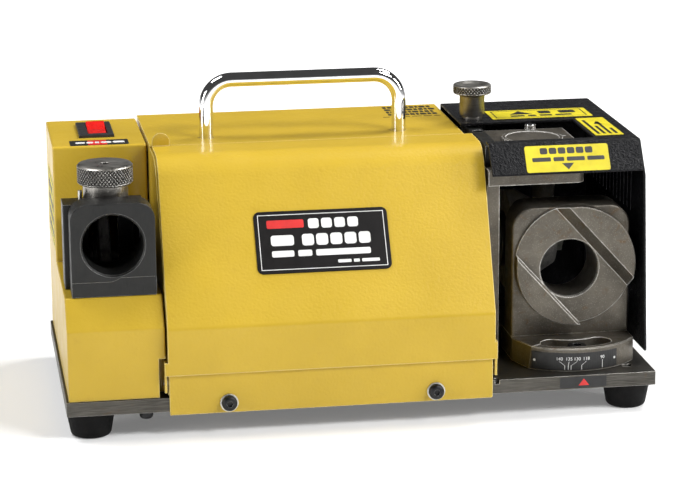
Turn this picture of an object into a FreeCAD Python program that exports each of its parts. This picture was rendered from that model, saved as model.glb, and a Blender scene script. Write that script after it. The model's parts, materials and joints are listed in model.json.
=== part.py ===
"""Bench drill bit sharpener: builds every separate piece as one closed solid, in millimetres.

Machine frame used while building: X to the right, Y to the back, Z up. The origin is the front
left corner of the base plate's top face. Each finished piece is moved once into the row frame,
whose origin is the middle of the object's footprint at the bottom of the rubber feet.
"""
import FreeCAD
import Part
import math
import os

V = FreeCAD.Vector
X_AXIS = V(1, 0, 0)
Y_AXIS = V(0, 1, 0)
Z_AXIS = V(0, 0, 1)

# ---------------------------------------------------------------- driving dimensions, base
PLATE_L = 400.0
PLATE_W = 200.0
PLATE_T = 9.5
FOOT_H = 17.3
FOOT_INSET = 16.5
FOOT_R_TOP = 16.4
FOOT_R_LOW = 13.2
GAP = 0.3

# ---------------------------------------------------------------- sheet metal
SHEET = 1.5
TOP_Z = 149.0

# left housing
LH_X0 = 1.6
LH_X1 = 66.0
LH_FRONT_Y = 1.1
LH_BEND_Z = 47.9
LEDGE_Y = 15.2
LEDGE_Z = 67.2
RECESS_Y = 112.0
LH_TOP_Z = 148.2
LH_REAR_Y = 201.5

# centre shell: top plate, rear wall and the two cheeks the lid closes on
CS_X0 = 67.3
CS_X1 = 286.5
CS_REAR_Y = 207.5
SEAM_Y = 100.0

# lid (front cover)
LID_T = 1.2
LID_FRONT_Y = -3.0
LID_LOW_Z = 15.8
LID_BEND_Z = 47.5
LID_RAKE = math.radians(33.0)
LID_TOP_R = 25.0
LID_BEND_R = 5.0
LID_LEFT_LOW = 67.3
LID_LEFT_TOP = 68.8
LID_RIGHT_LOW = 287.4
LID_RIGHT_TOP = 292.0
HINGE_Y = 5.0
HINGE_Z = 9.0
HINGE_R = 2.0

# apron under the lid
APRON_X0 = 67.8
APRON_X1 = 286.0
APRON_Z0 = -11.6
APRON_Z1 = 17.0
APRON_SCREW_X = (107.3, 247.0)
APRON_SCREW_Z = -5.5

# hood over the right station
HOOD_X0 = 288.0
HOOD_X0_FRONT = 292.8
HOOD_X1 = 399.5
HOOD_TOP_Z = 152.4
HOOD_REAR_Y = 191.5
HOOD_LIP_TOP_Y = 48.9
HOOD_LIP_LOW_Y = 35.4
HOOD_LIP_LOW_Z = 133.6
HOOD_RIM = 0.9
SLOT_R = 0.9
HOOD_WALL_LOW_Y = 23.0
HOOD_WALL_LOW_Z = 8.0
WINDOW = (286.0, 368.5, 56.0, 118.0)
BRACKET_TOP_Z = 148.4
BRACKET_X1 = 303.4

# shaft line shared by the motor and both wheels
SHAFT_Y = 121.5
SHAFT_Z = 67.0
SHAFT_R = 7.0
WHEEL_R = 35.0
WHEEL_X = 320.0
LEFT_WHEEL_R = 34.0
RUN = 0.05

# left station
LEFT_BORE_X = 34.5
LEFT_BORE_Z = 102.0
LEFT_BORE_R = 20.3
LEFT_FACE_Y = 14.5
LEFT_BACK_Y = 34.5
KNOB_L_X = 33.0
KNOB_L_Y = 50.2
COLUMN_TOP_Z = 125.0
GUARD_T = 1.5

# right station
PIVOT_X = 350.0
PIVOT_Y = 60.0
BLOCK_X = 350.5
BLOCK_HALF = 41.5
BLOCK_FACE_Y = 44.7
BLOCK_BACK_Y = 75.0
BLOCK_TOP_Z = 107.1
SWIVEL_H = 16.4
RING_X = 352.2
RING_Z = 67.0
RING_R = 41.9
SWIVEL_R = 51.8
CLAMP_R = 38.5
RING_BORE_X = 349.0
RING_BORE_Z = 64.0
RING_BORE_R = 20.3
RING_FACE_Y = 35.0
RING_FLOOR_Y = 42.5
SLOT_ANGLE = math.radians(-48.0)
SLOT_LOW = 20.7
SLOT_HIGH = 21.3
SLOT_HIGH_FACE = 28.2
SLOT_CHAMFER = 1.5
DIAL_X = 331.0
DIAL_Y = 81.2
DIAL_R = 21.2
PAD_TOP_Z = 146.6
PAD_REAR_Y = 117.5
BOSS_X = 346.0
BOSS_Y = 112.0
POST_X = 300.0
POST_Y = 137.0

# ---------------------------------------------------------------- row frame
Y_FRONT = -6.4
GLAND_OUT = 11.9
Y_REAR = CS_REAR_Y + GLAND_OUT
MOVE = V(-PLATE_L / 2.0, -(Y_FRONT + Y_REAR) / 2.0, PLATE_T + FOOT_H)

PARTS = {}


def box(x0, x1, y0, y1, z0, z1):
    return Part.makeBox(x1 - x0, y1 - y0, z1 - z0, V(x0, y0, z0))


def cyl(r, h, at, axis):
    return Part.makeCylinder(r, h, V(*at), axis)


def cone(r0, r1, h, at, axis):
    return Part.makeCone(r0, r1, h, V(*at), axis)


def prism_x(points, x0, x1):
    """Extrude a closed (y, z) outline from x0 to x1."""
    wire = Part.makePolygon([V(x0, y, z) for y, z in points] + [V(x0, points[0][0], points[0][1])])
    return Part.Face(wire).extrude(V(x1 - x0, 0, 0))


def prism_y(points, y0, y1):
    """Extrude a closed (x, z) outline from y0 to y1."""
    wire = Part.makePolygon([V(x, y0, z) for x, z in points] + [V(points[0][0], y0, points[0][1])])
    return Part.Face(wire).extrude(V(0, y1 - y0, 0))


def prism_z(points, z0, z1):
    """Extrude a closed (x, y) outline from z0 to z1."""
    wire = Part.makePolygon([V(x, y, z0) for x, y in points] + [V(points[0][0], points[0][1], z0)])
    return Part.Face(wire).extrude(V(0, 0, z1 - z0))


def soften(shape, radius, pick):
    """Fillet the edges that pick() chooses; pick gets each edge's bounding box."""
    edges = [e for e in shape.Edges if pick(e.BoundBox)]
    return shape.makeFillet(radius, edges)


def offset_outline(points, d):
    """Move each side of a closed outline inward by d (outline runs anticlockwise)."""
    n = len(points)
    lines = []
    for i in range(n):
        (y0, z0), (y1, z1) = points[i], points[(i + 1) % n]
        length = math.hypot(y1 - y0, z1 - z0)
        ny, nz = -(z1 - z0) / length, (y1 - y0) / length
        lines.append((y0 + ny * d, z0 + nz * d, (y1 - y0) / length, (z1 - z0) / length))
    out = []
    for i in range(n):
        ay, az, ady, adz = lines[i - 1]
        by, bz, bdy, bdz = lines[i]
        det = ady * (-bdz) + bdy * adz
        t = ((by - ay) * (-bdz) + bdy * (bz - az)) / det
        out.append((ay + ady * t, az + adz * t))
    return out


def keep(name, shape):
    if hasattr(shape, "Solids") and len(shape.Solids) == 1:
        shape = shape.Solids[0]
    PARTS[name] = shape


# ================================================================= base
def base_plate():
    plate = box(0, PLATE_L, 0, PLATE_W, -PLATE_T, 0)
    plate = soften(plate, 1.0, lambda b: b.ZLength > PLATE_T - 0.1)
    for x, y in foot_places():
        plate = plate.cut(cyl(3.2, PLATE_T + 2, (x, y, -PLATE_T - 1), Z_AXIS))
    for x in APRON_SCREW_X:
        plate = plate.cut(cyl(3.0, 14.5, (x, -1, APRON_SCREW_Z + 0.8), Y_AXIS))
    plate = plate.cut(cyl(6.05, PLATE_T + 2, (PIVOT_X, PIVOT_Y, -PLATE_T - 1), Z_AXIS))
    cx, cy = clamp_place()
    plate = plate.cut(cyl(4.05, PLATE_T + 2, (cx, cy, -PLATE_T - 1), Z_AXIS))
    for x, y in under_plate_places():
        plate = plate.cut(cyl(2.5, PLATE_T + 2, (x, y, -PLATE_T - 1), Z_AXIS))
    plate = plate.cut(cyl(2.1, 6.0, (385.8, 17.7, -6.0), Z_AXIS))
    plate = plate.cut(cyl(2.6, 3.0, (289.5, 2.2, -3.0), Z_AXIS))
    keep("base_plate", plate)


def foot_places():
    a = FOOT_INSET
    return [(a, a), (PLATE_L - a, a), (a, PLATE_W - a), (PLATE_L - a, PLATE_W - a)]


def feet():
    names = ("foot_front_left", "foot_front_right", "foot_rear_left", "foot_rear_right")
    for name, (x, y) in zip(names, foot_places()):
        body = cone(FOOT_R_LOW, FOOT_R_TOP, FOOT_H, (x, y, -PLATE_T - FOOT_H), Z_AXIS)
        body = soften(body, 3.0, lambda b: b.ZLength < 0.01 and b.ZMax < -PLATE_T - FOOT_H + 0.1)
        body = body.cut(cyl(6.2, 11.0, (x, y, -PLATE_T - FOOT_H - 1), Z_AXIS))
        body = body.cut(cyl(3.2, FOOT_H + 2, (x, y, -PLATE_T - FOOT_H - 1), Z_AXIS))
        keep(name, body)


def foot_screws():
    screws = []
    for x, y in foot_places():
        head_z = -PLATE_T - FOOT_H + 5.5
        head = cyl(5.6, 4.4, (x, y, head_z), Z_AXIS)
        head = head.cut(cyl(2.3, 2.4, (x, y, head_z - 0.2), Z_AXIS))
        shank = cyl(3.0, -1.0 - head_z - 3.0, (x, y, head_z + 3.0), Z_AXIS)
        screws.append(head.fuse(shank))
    keep("foot_screws", Part.makeCompound([s.Solids[0] for s in screws]))


# ================================================================= left housing
def left_outline():
    return [
        (LH_FRONT_Y, GAP),
        (LH_REAR_Y, GAP),
        (LH_REAR_Y, LH_TOP_Z),
        (RECESS_Y, LH_TOP_Z),
        (RECESS_Y, LEDGE_Z),
        (LEDGE_Y, LEDGE_Z),
        (LH_FRONT_Y, LH_BEND_Z),
    ]


def round_side_edges(shell):
    """Fillet the bends between the two side walls and the faces that join them."""
    def on_side(b):
        return b.XLength < 0.01 and (b.XMax < LH_X0 + 0.01 or b.XMin > LH_X1 - 0.01)
    low = lambda b: b.ZMax < GAP + 0.01
    rear = lambda b: b.YMin > LH_REAR_Y - 3.0
    inside_corner = lambda b: b.YMin > RECESS_Y - 0.01 and b.ZMax < LH_TOP_Z - 3.0 and b.YMax < RECESS_Y + 0.01
    return soften(shell, 1.3, lambda b: on_side(b) and not (low(b) or rear(b) or inside_corner(b)))


def left_housing():
    outline = left_outline()
    shell = prism_x(outline, LH_X0, LH_X1)
    picks = (
        lambda b: b.XLength > 50 and b.ZMin > LH_TOP_Z - 1,
        lambda b: b.XLength > 50 and b.ZMin > 40 and b.ZMax < 70 and b.YMax < 20,
    )
    for pick in picks:
        shell = soften(shell, 2.0, pick)
    shell = round_side_edges(shell)
    inner = offset_outline(outline, SHEET)
    inner[0] = (inner[0][0], -1.0)
    inner[1] = (inner[1][0], -1.0)
    shell = shell.cut(prism_x(inner, LH_X0 + SHEET, LH_X1 - SHEET))
    shell = shell.cut(box(61.5, 70, -1, 14, -1, 27.0))
    shell = shell.fuse(box(60.0, 61.5, LH_FRONT_Y, 15.5, GAP, 28.5))
    shell = shell.fuse(box(60.0, LH_X1, 14, 15.5, GAP, 28.5))
    shell = shell.fuse(box(60.0, LH_X1, LH_FRONT_Y, 15.5, 27.0, 28.5))
    wheel_slot = box(24.6, 44.6, 84.0, SHAFT_Y, LEDGE_Z - 3, 104.0)
    shell = shell.cut(wheel_slot)
    shell = shell.cut(cyl(13.0, 6, (LH_X1 - 3, SHAFT_Y, SHAFT_Z), X_AXIS))
    shell = shell.cut(box(24.6, 44.8, 139.6, 180.4, LH_TOP_Z - 3, LH_TOP_Z + 1))
    keep("left_housing", shell)


# ================================================================= centre shell and lid
def lid_profile(d):
    """Points of the lid's section, moved inward by d, from the low edge to the rear edge."""
    dy, dz = math.sin(LID_RAKE), math.cos(LID_RAKE)
    run = (TOP_Z - LID_BEND_Z) * math.tan(LID_RAKE)
    corner_y = LID_FRONT_Y + run
    back = LID_TOP_R * math.tan((math.pi / 2 - LID_RAKE) / 2)
    centre = (corner_y + back, TOP_Z - LID_TOP_R)
    half = math.tan(LID_RAKE / 2) * d
    pts = [(LID_FRONT_Y + d, LID_LOW_Z), (LID_FRONT_Y + d, LID_BEND_Z - half)]
    steps = 10
    for i in range(steps + 1):
        a = math.pi - LID_RAKE + (-(math.pi / 2 - LID_RAKE)) * i / steps
        r = LID_TOP_R - d
        pts.append((centre[0] + r * math.cos(a), centre[1] + r * math.sin(a)))
    pts.append((SEAM_Y, TOP_Z - d))
    return pts


def lid_section_edges(d):
    """The same section as true lines and one arc, for smooth faces."""
    pts = lid_profile(d)
    arc_start, arc_mid, arc_end = pts[2], pts[7], pts[12]
    return pts[0], pts[1], arc_start, arc_mid, arc_end, pts[13]


def section_wire(x, outer, inner):
    def v(p):
        return V(x, p[0], p[1])
    o0, o1, o2, o3, o4, o5 = outer
    i0, i1, i2, i3, i4, i5 = inner
    edges = [
        Part.makeLine(v(o0), v(o1)),
        Part.makeLine(v(o1), v(o2)),
        Part.Arc(v(o2), v(o3), v(o4)).toShape(),
        Part.makeLine(v(o4), v(o5)),
        Part.makeLine(v(o5), v(i5)),
        Part.makeLine(v(i5), v(i4)),
        Part.Arc(v(i4), v(i3), v(i2)).toShape(),
        Part.makeLine(v(i2), v(i1)),
        Part.makeLine(v(i1), v(i0)),
        Part.makeLine(v(i0), v(o0)),
    ]
    return Part.Wire(edges)


def lid():
    wire = section_wire(60.0, lid_section_edges(0.0), lid_section_edges(LID_T))
    sheet = Part.Face(wire).extrude(V(240.0, 0, 0))
    at_bend = lambda b: b.XLength > 200 and abs(b.ZMin - LID_BEND_Z) < 1.0
    sheet = soften(sheet, LID_BEND_R, lambda b: at_bend(b) and b.YMin < LID_FRONT_Y + 0.1)
    sheet = soften(sheet, LID_BEND_R - LID_T, lambda b: at_bend(b) and b.XLength > 200 and b.YMin > LID_FRONT_Y + 0.5)
    z_low, z_top = LID_BEND_Z, TOP_Z
    left = [(50, -5), (LID_LEFT_LOW, -5), (LID_LEFT_LOW, z_low), (LID_LEFT_TOP, z_top), (50, z_top + 5)]
    right = [
        (310, -5),
        (310, z_top + 5),
        (LID_RIGHT_TOP, z_top + 5),
        (LID_RIGHT_TOP, z_top),
        (LID_RIGHT_LOW, z_low),
        (LID_RIGHT_LOW, -5),
    ]
    left[4] = (50, z_top + 5)
    left.insert(4, (LID_LEFT_TOP, z_top + 5))
    sheet = sheet.cut(prism_y(left, -20, SEAM_Y + 10))
    sheet = sheet.cut(prism_y(right, -20, SEAM_Y + 10))
    # ears at the low corners, each a folded tongue around a hinge pin
    for x0, x1, front0, front1, z_ear in (
        (64.9, 66.4, 64.9, 68.0, 24.8),
        (287.5, 289.0, 286.5, 289.0, 28.0),
    ):
        front = box(front0, front1, LID_FRONT_Y, LID_FRONT_Y + LID_T, LID_LOW_Z, z_ear)
        side = box(x0, x1, LID_FRONT_Y, HINGE_Y, HINGE_Z - 5.0, z_ear)
        eye = cyl(6.0, x1 - x0, (x0, HINGE_Y, HINGE_Z), X_AXIS)
        web = box(x0, x1, HINGE_Y - 0.01, HINGE_Y + 6.0, HINGE_Z, z_ear - 4.0)
        clear = box(x0 - 1, x1 + 1, LID_FRONT_Y - 1, -1.4, HINGE_Z - 7, LID_LOW_Z)
        sheet = sheet.fuse(front).fuse(side.fuse(eye).fuse(web).cut(clear))
        sheet = sheet.cut(cyl(HINGE_R + RUN, x1 - x0 + 2, (x0 - 1, HINGE_Y, HINGE_Z), X_AXIS))
    # upright finger tab at the left end of the rear edge
    tab_x = LID_LEFT_TOP + 6.0
    tab = box(tab_x - 6, tab_x + 6, SEAM_Y - LID_T - 0.2, SEAM_Y - 0.2, TOP_Z - 0.5, TOP_Z + 3.0)
    tab = tab.fuse(cyl(6.0, LID_T, (tab_x, SEAM_Y - LID_T - 0.2, TOP_Z + 3.0), Y_AXIS))
    tab = tab.common(box(60, 100, 90, SEAM_Y, TOP_Z - LID_T, TOP_Z + 20))
    sheet = sheet.fuse(tab).removeSplitter()
    keep("lid", sheet)


def cheek(x0, x1):
    """Side wall whose front edge runs just inside the closed lid."""
    inner = lid_section_edges(LID_T + 0.5)
    i0, i1, i2, i3, i4, i5 = inner

    def v(p):
        return V(x0, p[0], p[1])
    edges = [
        Part.makeLine(V(x0, HINGE_Y - 4.5, 2.0), v((HINGE_Y - 4.5, 18.0))),
        Part.makeLine(v((HINGE_Y - 4.5, 18.0)), v(i1)),
        Part.makeLine(v(i1), v(i2)),
        Part.Arc(v(i2), v(i3), v(i4)).toShape(),
        Part.makeLine(v(i4), v(i5)),
        Part.makeLine(v(i5), V(x0, CS_REAR_Y, i5[1])),
        Part.makeLine(V(x0, CS_REAR_Y, i5[1]), V(x0, CS_REAR_Y, 0.0)),
        Part.makeLine(V(x0, CS_REAR_Y, 0.0), V(x0, HINGE_Y + 10.0, 0.0)),
        Part.makeLine(V(x0, HINGE_Y + 10.0, 0.0), V(x0, HINGE_Y - 4.5, 2.0)),
    ]
    return Part.Face(Part.Wire(edges)).extrude(V(x1 - x0, 0, 0))


def centre_shell():
    top = box(CS_X0, CS_X1, SEAM_Y + GAP, CS_REAR_Y, TOP_Z - SHEET, TOP_Z)
    rear = box(CS_X0, CS_X1, CS_REAR_Y - SHEET, CS_REAR_Y, 0.0, TOP_Z)
    shell = top.fuse(rear)
    shell = shell.fuse(cheek(CS_X0, CS_X0 + SHEET)).fuse(cheek(CS_X1 - SHEET, CS_X1))
    shell = shell.removeSplitter()
    shell = soften(shell, 1.2, lambda b: b.XLength > 200 and b.YMin > CS_REAR_Y - 0.1 and b.ZMin > TOP_Z - 0.1)
    # ledge under the lid's rear edge
    shell = shell.fuse(box(CS_X0 + SHEET, CS_X1 - SHEET, 94.0, SEAM_Y + 8.0, TOP_Z - 3.2, TOP_Z - SHEET - 0.2))
    shell = shell.fuse(box(CS_X0 + SHEET, CS_X1 - SHEET, SEAM_Y + GAP, SEAM_Y + 8.0, TOP_Z - 2.0, TOP_Z - 1.0))
    for x in (CS_X0 - 1, CS_X1 - SHEET - 1):
        shell = shell.cut(cyl(13.0, SHEET + 2, (x, SHAFT_Y, SHAFT_Z), X_AXIS))
        shell = shell.cut(cyl(HINGE_R, SHEET + 2, (x, HINGE_Y, HINGE_Z), X_AXIS))
    for x, y in handle_feet():
        shell = shell.cut(cyl(5.3, 6, (x, y, TOP_Z - 4), Z_AXIS))
    # motor cooling slots in the rear wall
    for row_z in (38.0, 72.0):
        for i in range(12):
            x = 110.0 + i * 12.0
            shell = shell.cut(box(x - 1.8, x + 1.8, CS_REAR_Y - 3, CS_REAR_Y + 1, row_z, row_z + 24.0))
    shell = shell.cut(cyl(8.0, 6, (100.0, CS_REAR_Y - 4, 22.0), Y_AXIS))
    keep("centre_shell", shell.removeSplitter())


def hinge_pins():
    left = cyl(HINGE_R, 10.5, (64.5, HINGE_Y, HINGE_Z), X_AXIS)
    left = left.fuse(cyl(3.4, 3.0, (CS_X0 + SHEET, HINGE_Y, HINGE_Z), X_AXIS))
    keep("hinge_pin_left", left)
    right = cyl(HINGE_R, 10.0, (279.5, HINGE_Y, HINGE_Z), X_AXIS)
    right = right.fuse(cyl(3.4, 3.0, (CS_X1 - SHEET - 3.0, HINGE_Y, HINGE_Z), X_AXIS))
    keep("hinge_pin_right", right)


def apron():
    sheet = box(APRON_X0, APRON_X1, -1.5, 0.0, APRON_Z0, APRON_Z1)
    sheet = soften(sheet, 1.0, lambda b: b.YLength > 1.4 and b.YLength < 1.6)
    for x in APRON_SCREW_X:
        sheet = sheet.cut(cyl(3.3, 4, (x, -2, APRON_SCREW_Z + 0.8), Y_AXIS))
    keep("apron", sheet)


def apron_fasteners():
    washers = []
    screws = []
    z = APRON_SCREW_Z + 0.8
    for x in APRON_SCREW_X:
        washer = cyl(6.1, 1.4, (x, -2.9, z), Y_AXIS)
        washers.append(washer.cut(cyl(3.3, 3, (x, -4, z), Y_AXIS)))
        head = cyl(5.2, 3.5, (x, -6.4, z), Y_AXIS)
        head = soften(head, 2.2, lambda b: b.YMax < -6.39)
        socket = prism_y([(x + 2.3 * math.cos(a), z + 2.3 * math.sin(a)) for a in hexagon()], -7.0, -4.3)
        screws.append(head.fuse(cyl(2.95, 15.0, (x, -3.0, z), Y_AXIS)).cut(socket))
    keep("apron_washers", Part.makeCompound([w.Solids[0] for w in washers]))
    keep("apron_screws", Part.makeCompound([s.Solids[0] for s in screws]))


def hexagon():
    return [math.radians(60 * i) for i in range(6)]


def handle_feet():
    return [(108.6, 121.5), (244.2, 121.5)]


def handle():
    (x0, y), (x1, _) = handle_feet()
    r = 18.0
    z_top = 189.0
    z_low = TOP_Z - 12.0
    k = math.sqrt(0.5)
    edges = [
        Part.makeLine(V(x0, y, z_low), V(x0, y, z_top - r)),
        Part.Arc(V(x0, y, z_top - r), V(x0 + r - r * k, y, z_top - r + r * k), V(x0 + r, y, z_top)).toShape(),
        Part.makeLine(V(x0 + r, y, z_top), V(x1 - r, y, z_top)),
        Part.Arc(V(x1 - r, y, z_top), V(x1 - r + r * k, y, z_top - r + r * k), V(x1, y, z_top - r)).toShape(),
        Part.makeLine(V(x1, y, z_top - r), V(x1, y, z_low)),
    ]
    path = Part.Wire(edges)
    section = Part.Wire([Part.makeCircle(5.0, V(x0, y, z_low), Z_AXIS)])
    keep("carry_handle", path.makePipeShell([section], True, False).Solids[0])
    nuts = []
    for x, y in handle_feet():
        hexa = [(x + 9.0 * math.cos(a), y + 9.0 * math.sin(a)) for a in hexagon()]
        nut = prism_z(hexa, TOP_Z - SHEET - 8.0, TOP_Z - SHEET - 1.4)
        nuts.append(nut.cut(cyl(5.05, 12, (x, y, TOP_Z - SHEET - 10), Z_AXIS)))
    keep("handle_nuts", Part.makeCompound([n.Solids[0] for n in nuts]))


def on_lid_face(x, along, out):
    """Point on the lid's raked face: distance along it from the bend, and out from it."""
    s, c = math.sin(LID_RAKE), math.cos(LID_RAKE)
    return V(x, LID_FRONT_Y + along * s - out * c, LID_BEND_Z + along * c + out * s)


def nameplate():
    x0, x1 = 130.0, 220.6
    a0, a1 = 35.2, 79.0
    r = 4.0
    corners = [(x0, a0), (x1, a0), (x1, a1), (x0, a1)]
    pts = []
    for i, (cx, ca) in enumerate(corners):
        ox = cx + r if i in (0, 3) else cx - r
        oa = ca + r if i in (0, 1) else ca - r
        for j in range(7):
            ang = math.radians(180 + 90 * i + 15 * j)
            pts.append(on_lid_face(ox + r * math.cos(ang), oa + r * math.sin(ang), 0.0))
    face = Part.Face(Part.makePolygon(pts + [pts[0]]))
    s, c = math.sin(LID_RAKE), math.cos(LID_RAKE)
    keep("nameplate", face.extrude(V(0, -c * 0.6, s * 0.6)))


# ================================================================= hood
def hood_outline():
    return [
        (HOOD_WALL_LOW_Y, HOOD_WALL_LOW_Z),
        (HOOD_REAR_Y, HOOD_WALL_LOW_Z),
        (HOOD_REAR_Y, HOOD_TOP_Z),
        (HOOD_LIP_TOP_Y, HOOD_TOP_Z),
        (HOOD_LIP_LOW_Y, HOOD_LIP_LOW_Z),
        (HOOD_LIP_LOW_Y - 0.2, HOOD_LIP_LOW_Z - HOOD_RIM),
    ]


def hood():
    body = prism_x(hood_outline(), HOOD_X0, HOOD_X1)
    top_edges = lambda b: b.XMin > HOOD_X1 - 0.1 and b.ZMin > HOOD_LIP_LOW_Z - HOOD_RIM - 0.4
    body = soften(body, 2.2, lambda b: top_edges(b) and b.ZMax > HOOD_LIP_LOW_Z + 0.5)
    body = soften(body, 1.6, lambda b: b.XLength > 90 and b.ZMin > HOOD_TOP_Z - 0.1)
    inner = offset_outline(hood_outline(), SHEET)
    inner = [(-30, -30), (inner[1][0], -30), inner[2], inner[3], inner[4], (inner[5][0], inner[5][1] - 0.2), (-30, 110)]
    inner[5] = (HOOD_LIP_LOW_Y - 0.2 + SHEET, HOOD_LIP_LOW_Z - HOOD_RIM - 0.3)
    inner.insert(6, (-30, HOOD_LIP_LOW_Z - HOOD_RIM - 0.3))
    body = body.cut(prism_x(inner[:-1], HOOD_X0 - 1, HOOD_X1 - SHEET))
    body = body.cut(box(HOOD_X0 - 1, HOOD_X0_FRONT, 20, SEAM_Y + 2.0, 100, 160))
    body = body.cut(box(HOOD_X0 - 1, HOOD_X1 - SHEET, -30, HOOD_REAR_Y - SHEET, -5, HOOD_LIP_LOW_Z - HOOD_RIM - 0.3))
    x0, x1, y0, y1 = WINDOW
    body = body.cut(box(x0, x1, y0, y1, 140, 160))
    body = body.cut(cyl(7.8, 10, (POST_X, POST_Y, 146), Z_AXIS))
    for i in range(14):
        y = 66.0 + i * 9.3
        for z0, z1 in ((97.0, 128.0), (26.5, 57.5)):
            slot = box(HOOD_X1 - 5, HOOD_X1 + 2, y - SLOT_R, y + SLOT_R, z0 + SLOT_R, z1 - SLOT_R)
            ends = cyl(SLOT_R, 7, (HOOD_X1 - 5, y, z0 + SLOT_R), X_AXIS)
            ends = ends.fuse(cyl(SLOT_R, 7, (HOOD_X1 - 5, y, z1 - SLOT_R), X_AXIS))
            body = body.cut(slot.fuse(ends))
    # foot flange of the rear wall, screwed to the base plate
    body = body.fuse(box(HOOD_X0 + 2, HOOD_X1 - 4, HOOD_REAR_Y - SHEET, HOOD_REAR_Y, 0.0, 12.0))
    body = body.fuse(box(HOOD_X0 + 2, HOOD_X1 - 4, HOOD_REAR_Y - 14, HOOD_REAR_Y - SHEET, 0.0, SHEET))
    for x in (310.0, 380.0):
        body = body.cut(cyl(2.6, 6, (x, HOOD_REAR_Y - 8, -2), Z_AXIS))
    keep("hood", body.removeSplitter())


def hood_screws():
    screws = []
    for x in (310.0, 380.0):
        z = SHEET
        head = cyl(4.4, 2.6, (x, HOOD_REAR_Y - 8, z), Z_AXIS)
        head = soften(head, 1.2, lambda b: b.ZMin > z + 2.59)
        head = head.cut(cyl(1.5, 2, (x, HOOD_REAR_Y - 8, z + 1.2), Z_AXIS))
        shank = cyl(2.4, 1.6, (x, HOOD_REAR_Y - 8, 0.1), Z_AXIS)
        screws.append(head.fuse(shank))
    keep("hood_screws", Part.makeCompound([s.Solids[0] for s in screws]))


# ================================================================= left station
def left_block():
    r = 11.5
    x0, x1 = 6.8, 62.6
    z0, z1 = LEDGE_Z + GAP, 130.0
    body = box(x0, x1, LEFT_FACE_Y, LEFT_BACK_Y, z0, z1)
    body = soften(body, r, lambda b: b.YLength > 15 and b.ZMin > z1 - 0.1)
    body = soften(body, 0.8, lambda b: b.YMax < LEFT_FACE_Y + 0.1 and b.ZMin > z0 + 1)
    # foot that joins the plate to the column behind it
    body = body.fuse(box(x0, x1 - 2.0, LEFT_BACK_Y - 1, 37.9, z0, 80.0))
    # shallow relief step along the low edge of the face
    relief = prism_y([(x0 - 1, z0 - 1), (x1 + 1, z0 - 1), (x1 + 1, 80.0), (39.0, 80.0),
                      (36.5, 78.6), (33.0, 77.4), (x0 - 1, 77.4)], LEFT_FACE_Y - 1, LEFT_FACE_Y + 0.5)
    body = body.cut(relief)
    at = (LEFT_BORE_X, LEFT_FACE_Y - 2, LEFT_BORE_Z)
    body = body.cut(cyl(LEFT_BORE_R, 40, at, Y_AXIS))
    mouth = cone(LEFT_BORE_R + 1.2, LEFT_BORE_R - 0.01, 1.21, (LEFT_BORE_X, LEFT_FACE_Y, LEFT_BORE_Z), Y_AXIS)
    body = body.cut(mouth)
    keep("left_block", body.removeSplitter())


def left_column():
    z0 = LEDGE_Z + GAP
    body = box(3.6, 57.0, 37.9, 58.0, z0, COLUMN_TOP_Z)
    body = soften(body, 0.8, lambda b: b.YMax < 38.0 and b.ZLength > 20)
    body = body.cut(cyl(22.0, 30, (LEFT_BORE_X, 35, LEFT_BORE_Z), Y_AXIS))
    body = body.cut(cyl(2.0 + RUN * 1.6, 9, (KNOB_L_X, KNOB_L_Y, COLUMN_TOP_Z - 5.5), Z_AXIS))
    body = body.cut(cyl(1.35, 9, (15.7, 45.0, COLUMN_TOP_Z - 6.0), Z_AXIS))
    keep("left_column", body)


def left_knob():
    at = (KNOB_L_X, KNOB_L_Y)
    z_neck = COLUMN_TOP_Z + GAP
    z_grip = z_neck + 11.2
    z_top = z_grip + 13.0
    neck = cyl(15.0, 11.4, (at[0], at[1], z_neck), Z_AXIS)
    grip = cyl(18.6, 13.0, (at[0], at[1], z_grip), Z_AXIS)
    grip = soften(grip, 1.1, lambda b: b.ZLength < 0.01)
    knob = neck.fuse(grip)
    knob = knob.fuse(cyl(2.0, 6.0, (at[0], at[1], z_neck - 5.5), Z_AXIS))
    knob = knob.cut(cyl(3.4, 3.0, (at[0], at[1], z_top - 2.6), Z_AXIS))
    keep("left_knob", knob.removeSplitter())
    screw = cyl(3.0, 0.9, (at[0], at[1], z_top - 2.6), Z_AXIS)
    hexa = [(at[0] + 1.9 * math.cos(a), at[1] + 1.9 * math.sin(a)) for a in hexagon()]
    keep("left_knob_setscrew", screw.cut(prism_z(hexa, z_top - 2.3, z_top + 1.0)))
    pin = cyl(1.35, 13.6, (15.7, 45.0, COLUMN_TOP_Z - 5.5), Z_AXIS)
    keep("left_stop_pin", soften(pin, 0.4, lambda b: b.ZMin > COLUMN_TOP_Z + 8.0))


def guard_block(inset):
    """Solid of the guard's outside, or of its hollow when inset is the sheet's thickness."""
    x0, x1, x0_rear = 8.0 + inset, 57.0 - inset, 17.0 + inset
    y0, y1 = 58.4, RECESS_Y - 0.4 - inset
    z0 = LEDGE_Z + GAP
    plan = prism_z([(x0, y0), (x1, y0), (x1, y1), (x0_rear, y1)], z0 - inset, 130.0)
    side = [(y0 - inset, z0 - inset), (y1, z0 - inset), (y1, 106.5 - inset), (y0 - inset, 121.5 - inset)]
    return plan.common(prism_x(side, 0.0, 66.0))


def wheel_guard():
    """Box of sheet metal round the left wheel; it is open to the bore and to the housing's slot."""
    body = guard_block(0.0)
    hollow = guard_block(GUARD_T)
    body = body.cut(hollow)
    y0, y1 = 58.4, RECESS_Y - 0.4
    body = body.cut(box(10.0, 55.0, y0 - 1.0, y0 + 1.0, LEDGE_Z + 1.8, 119.0))
    body = body.cut(box(24.6, 44.6, y1 - 5, y1 + 1, LEDGE_Z - 1, 104.0))
    keep("wheel_guard", body.removeSplitter())


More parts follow.
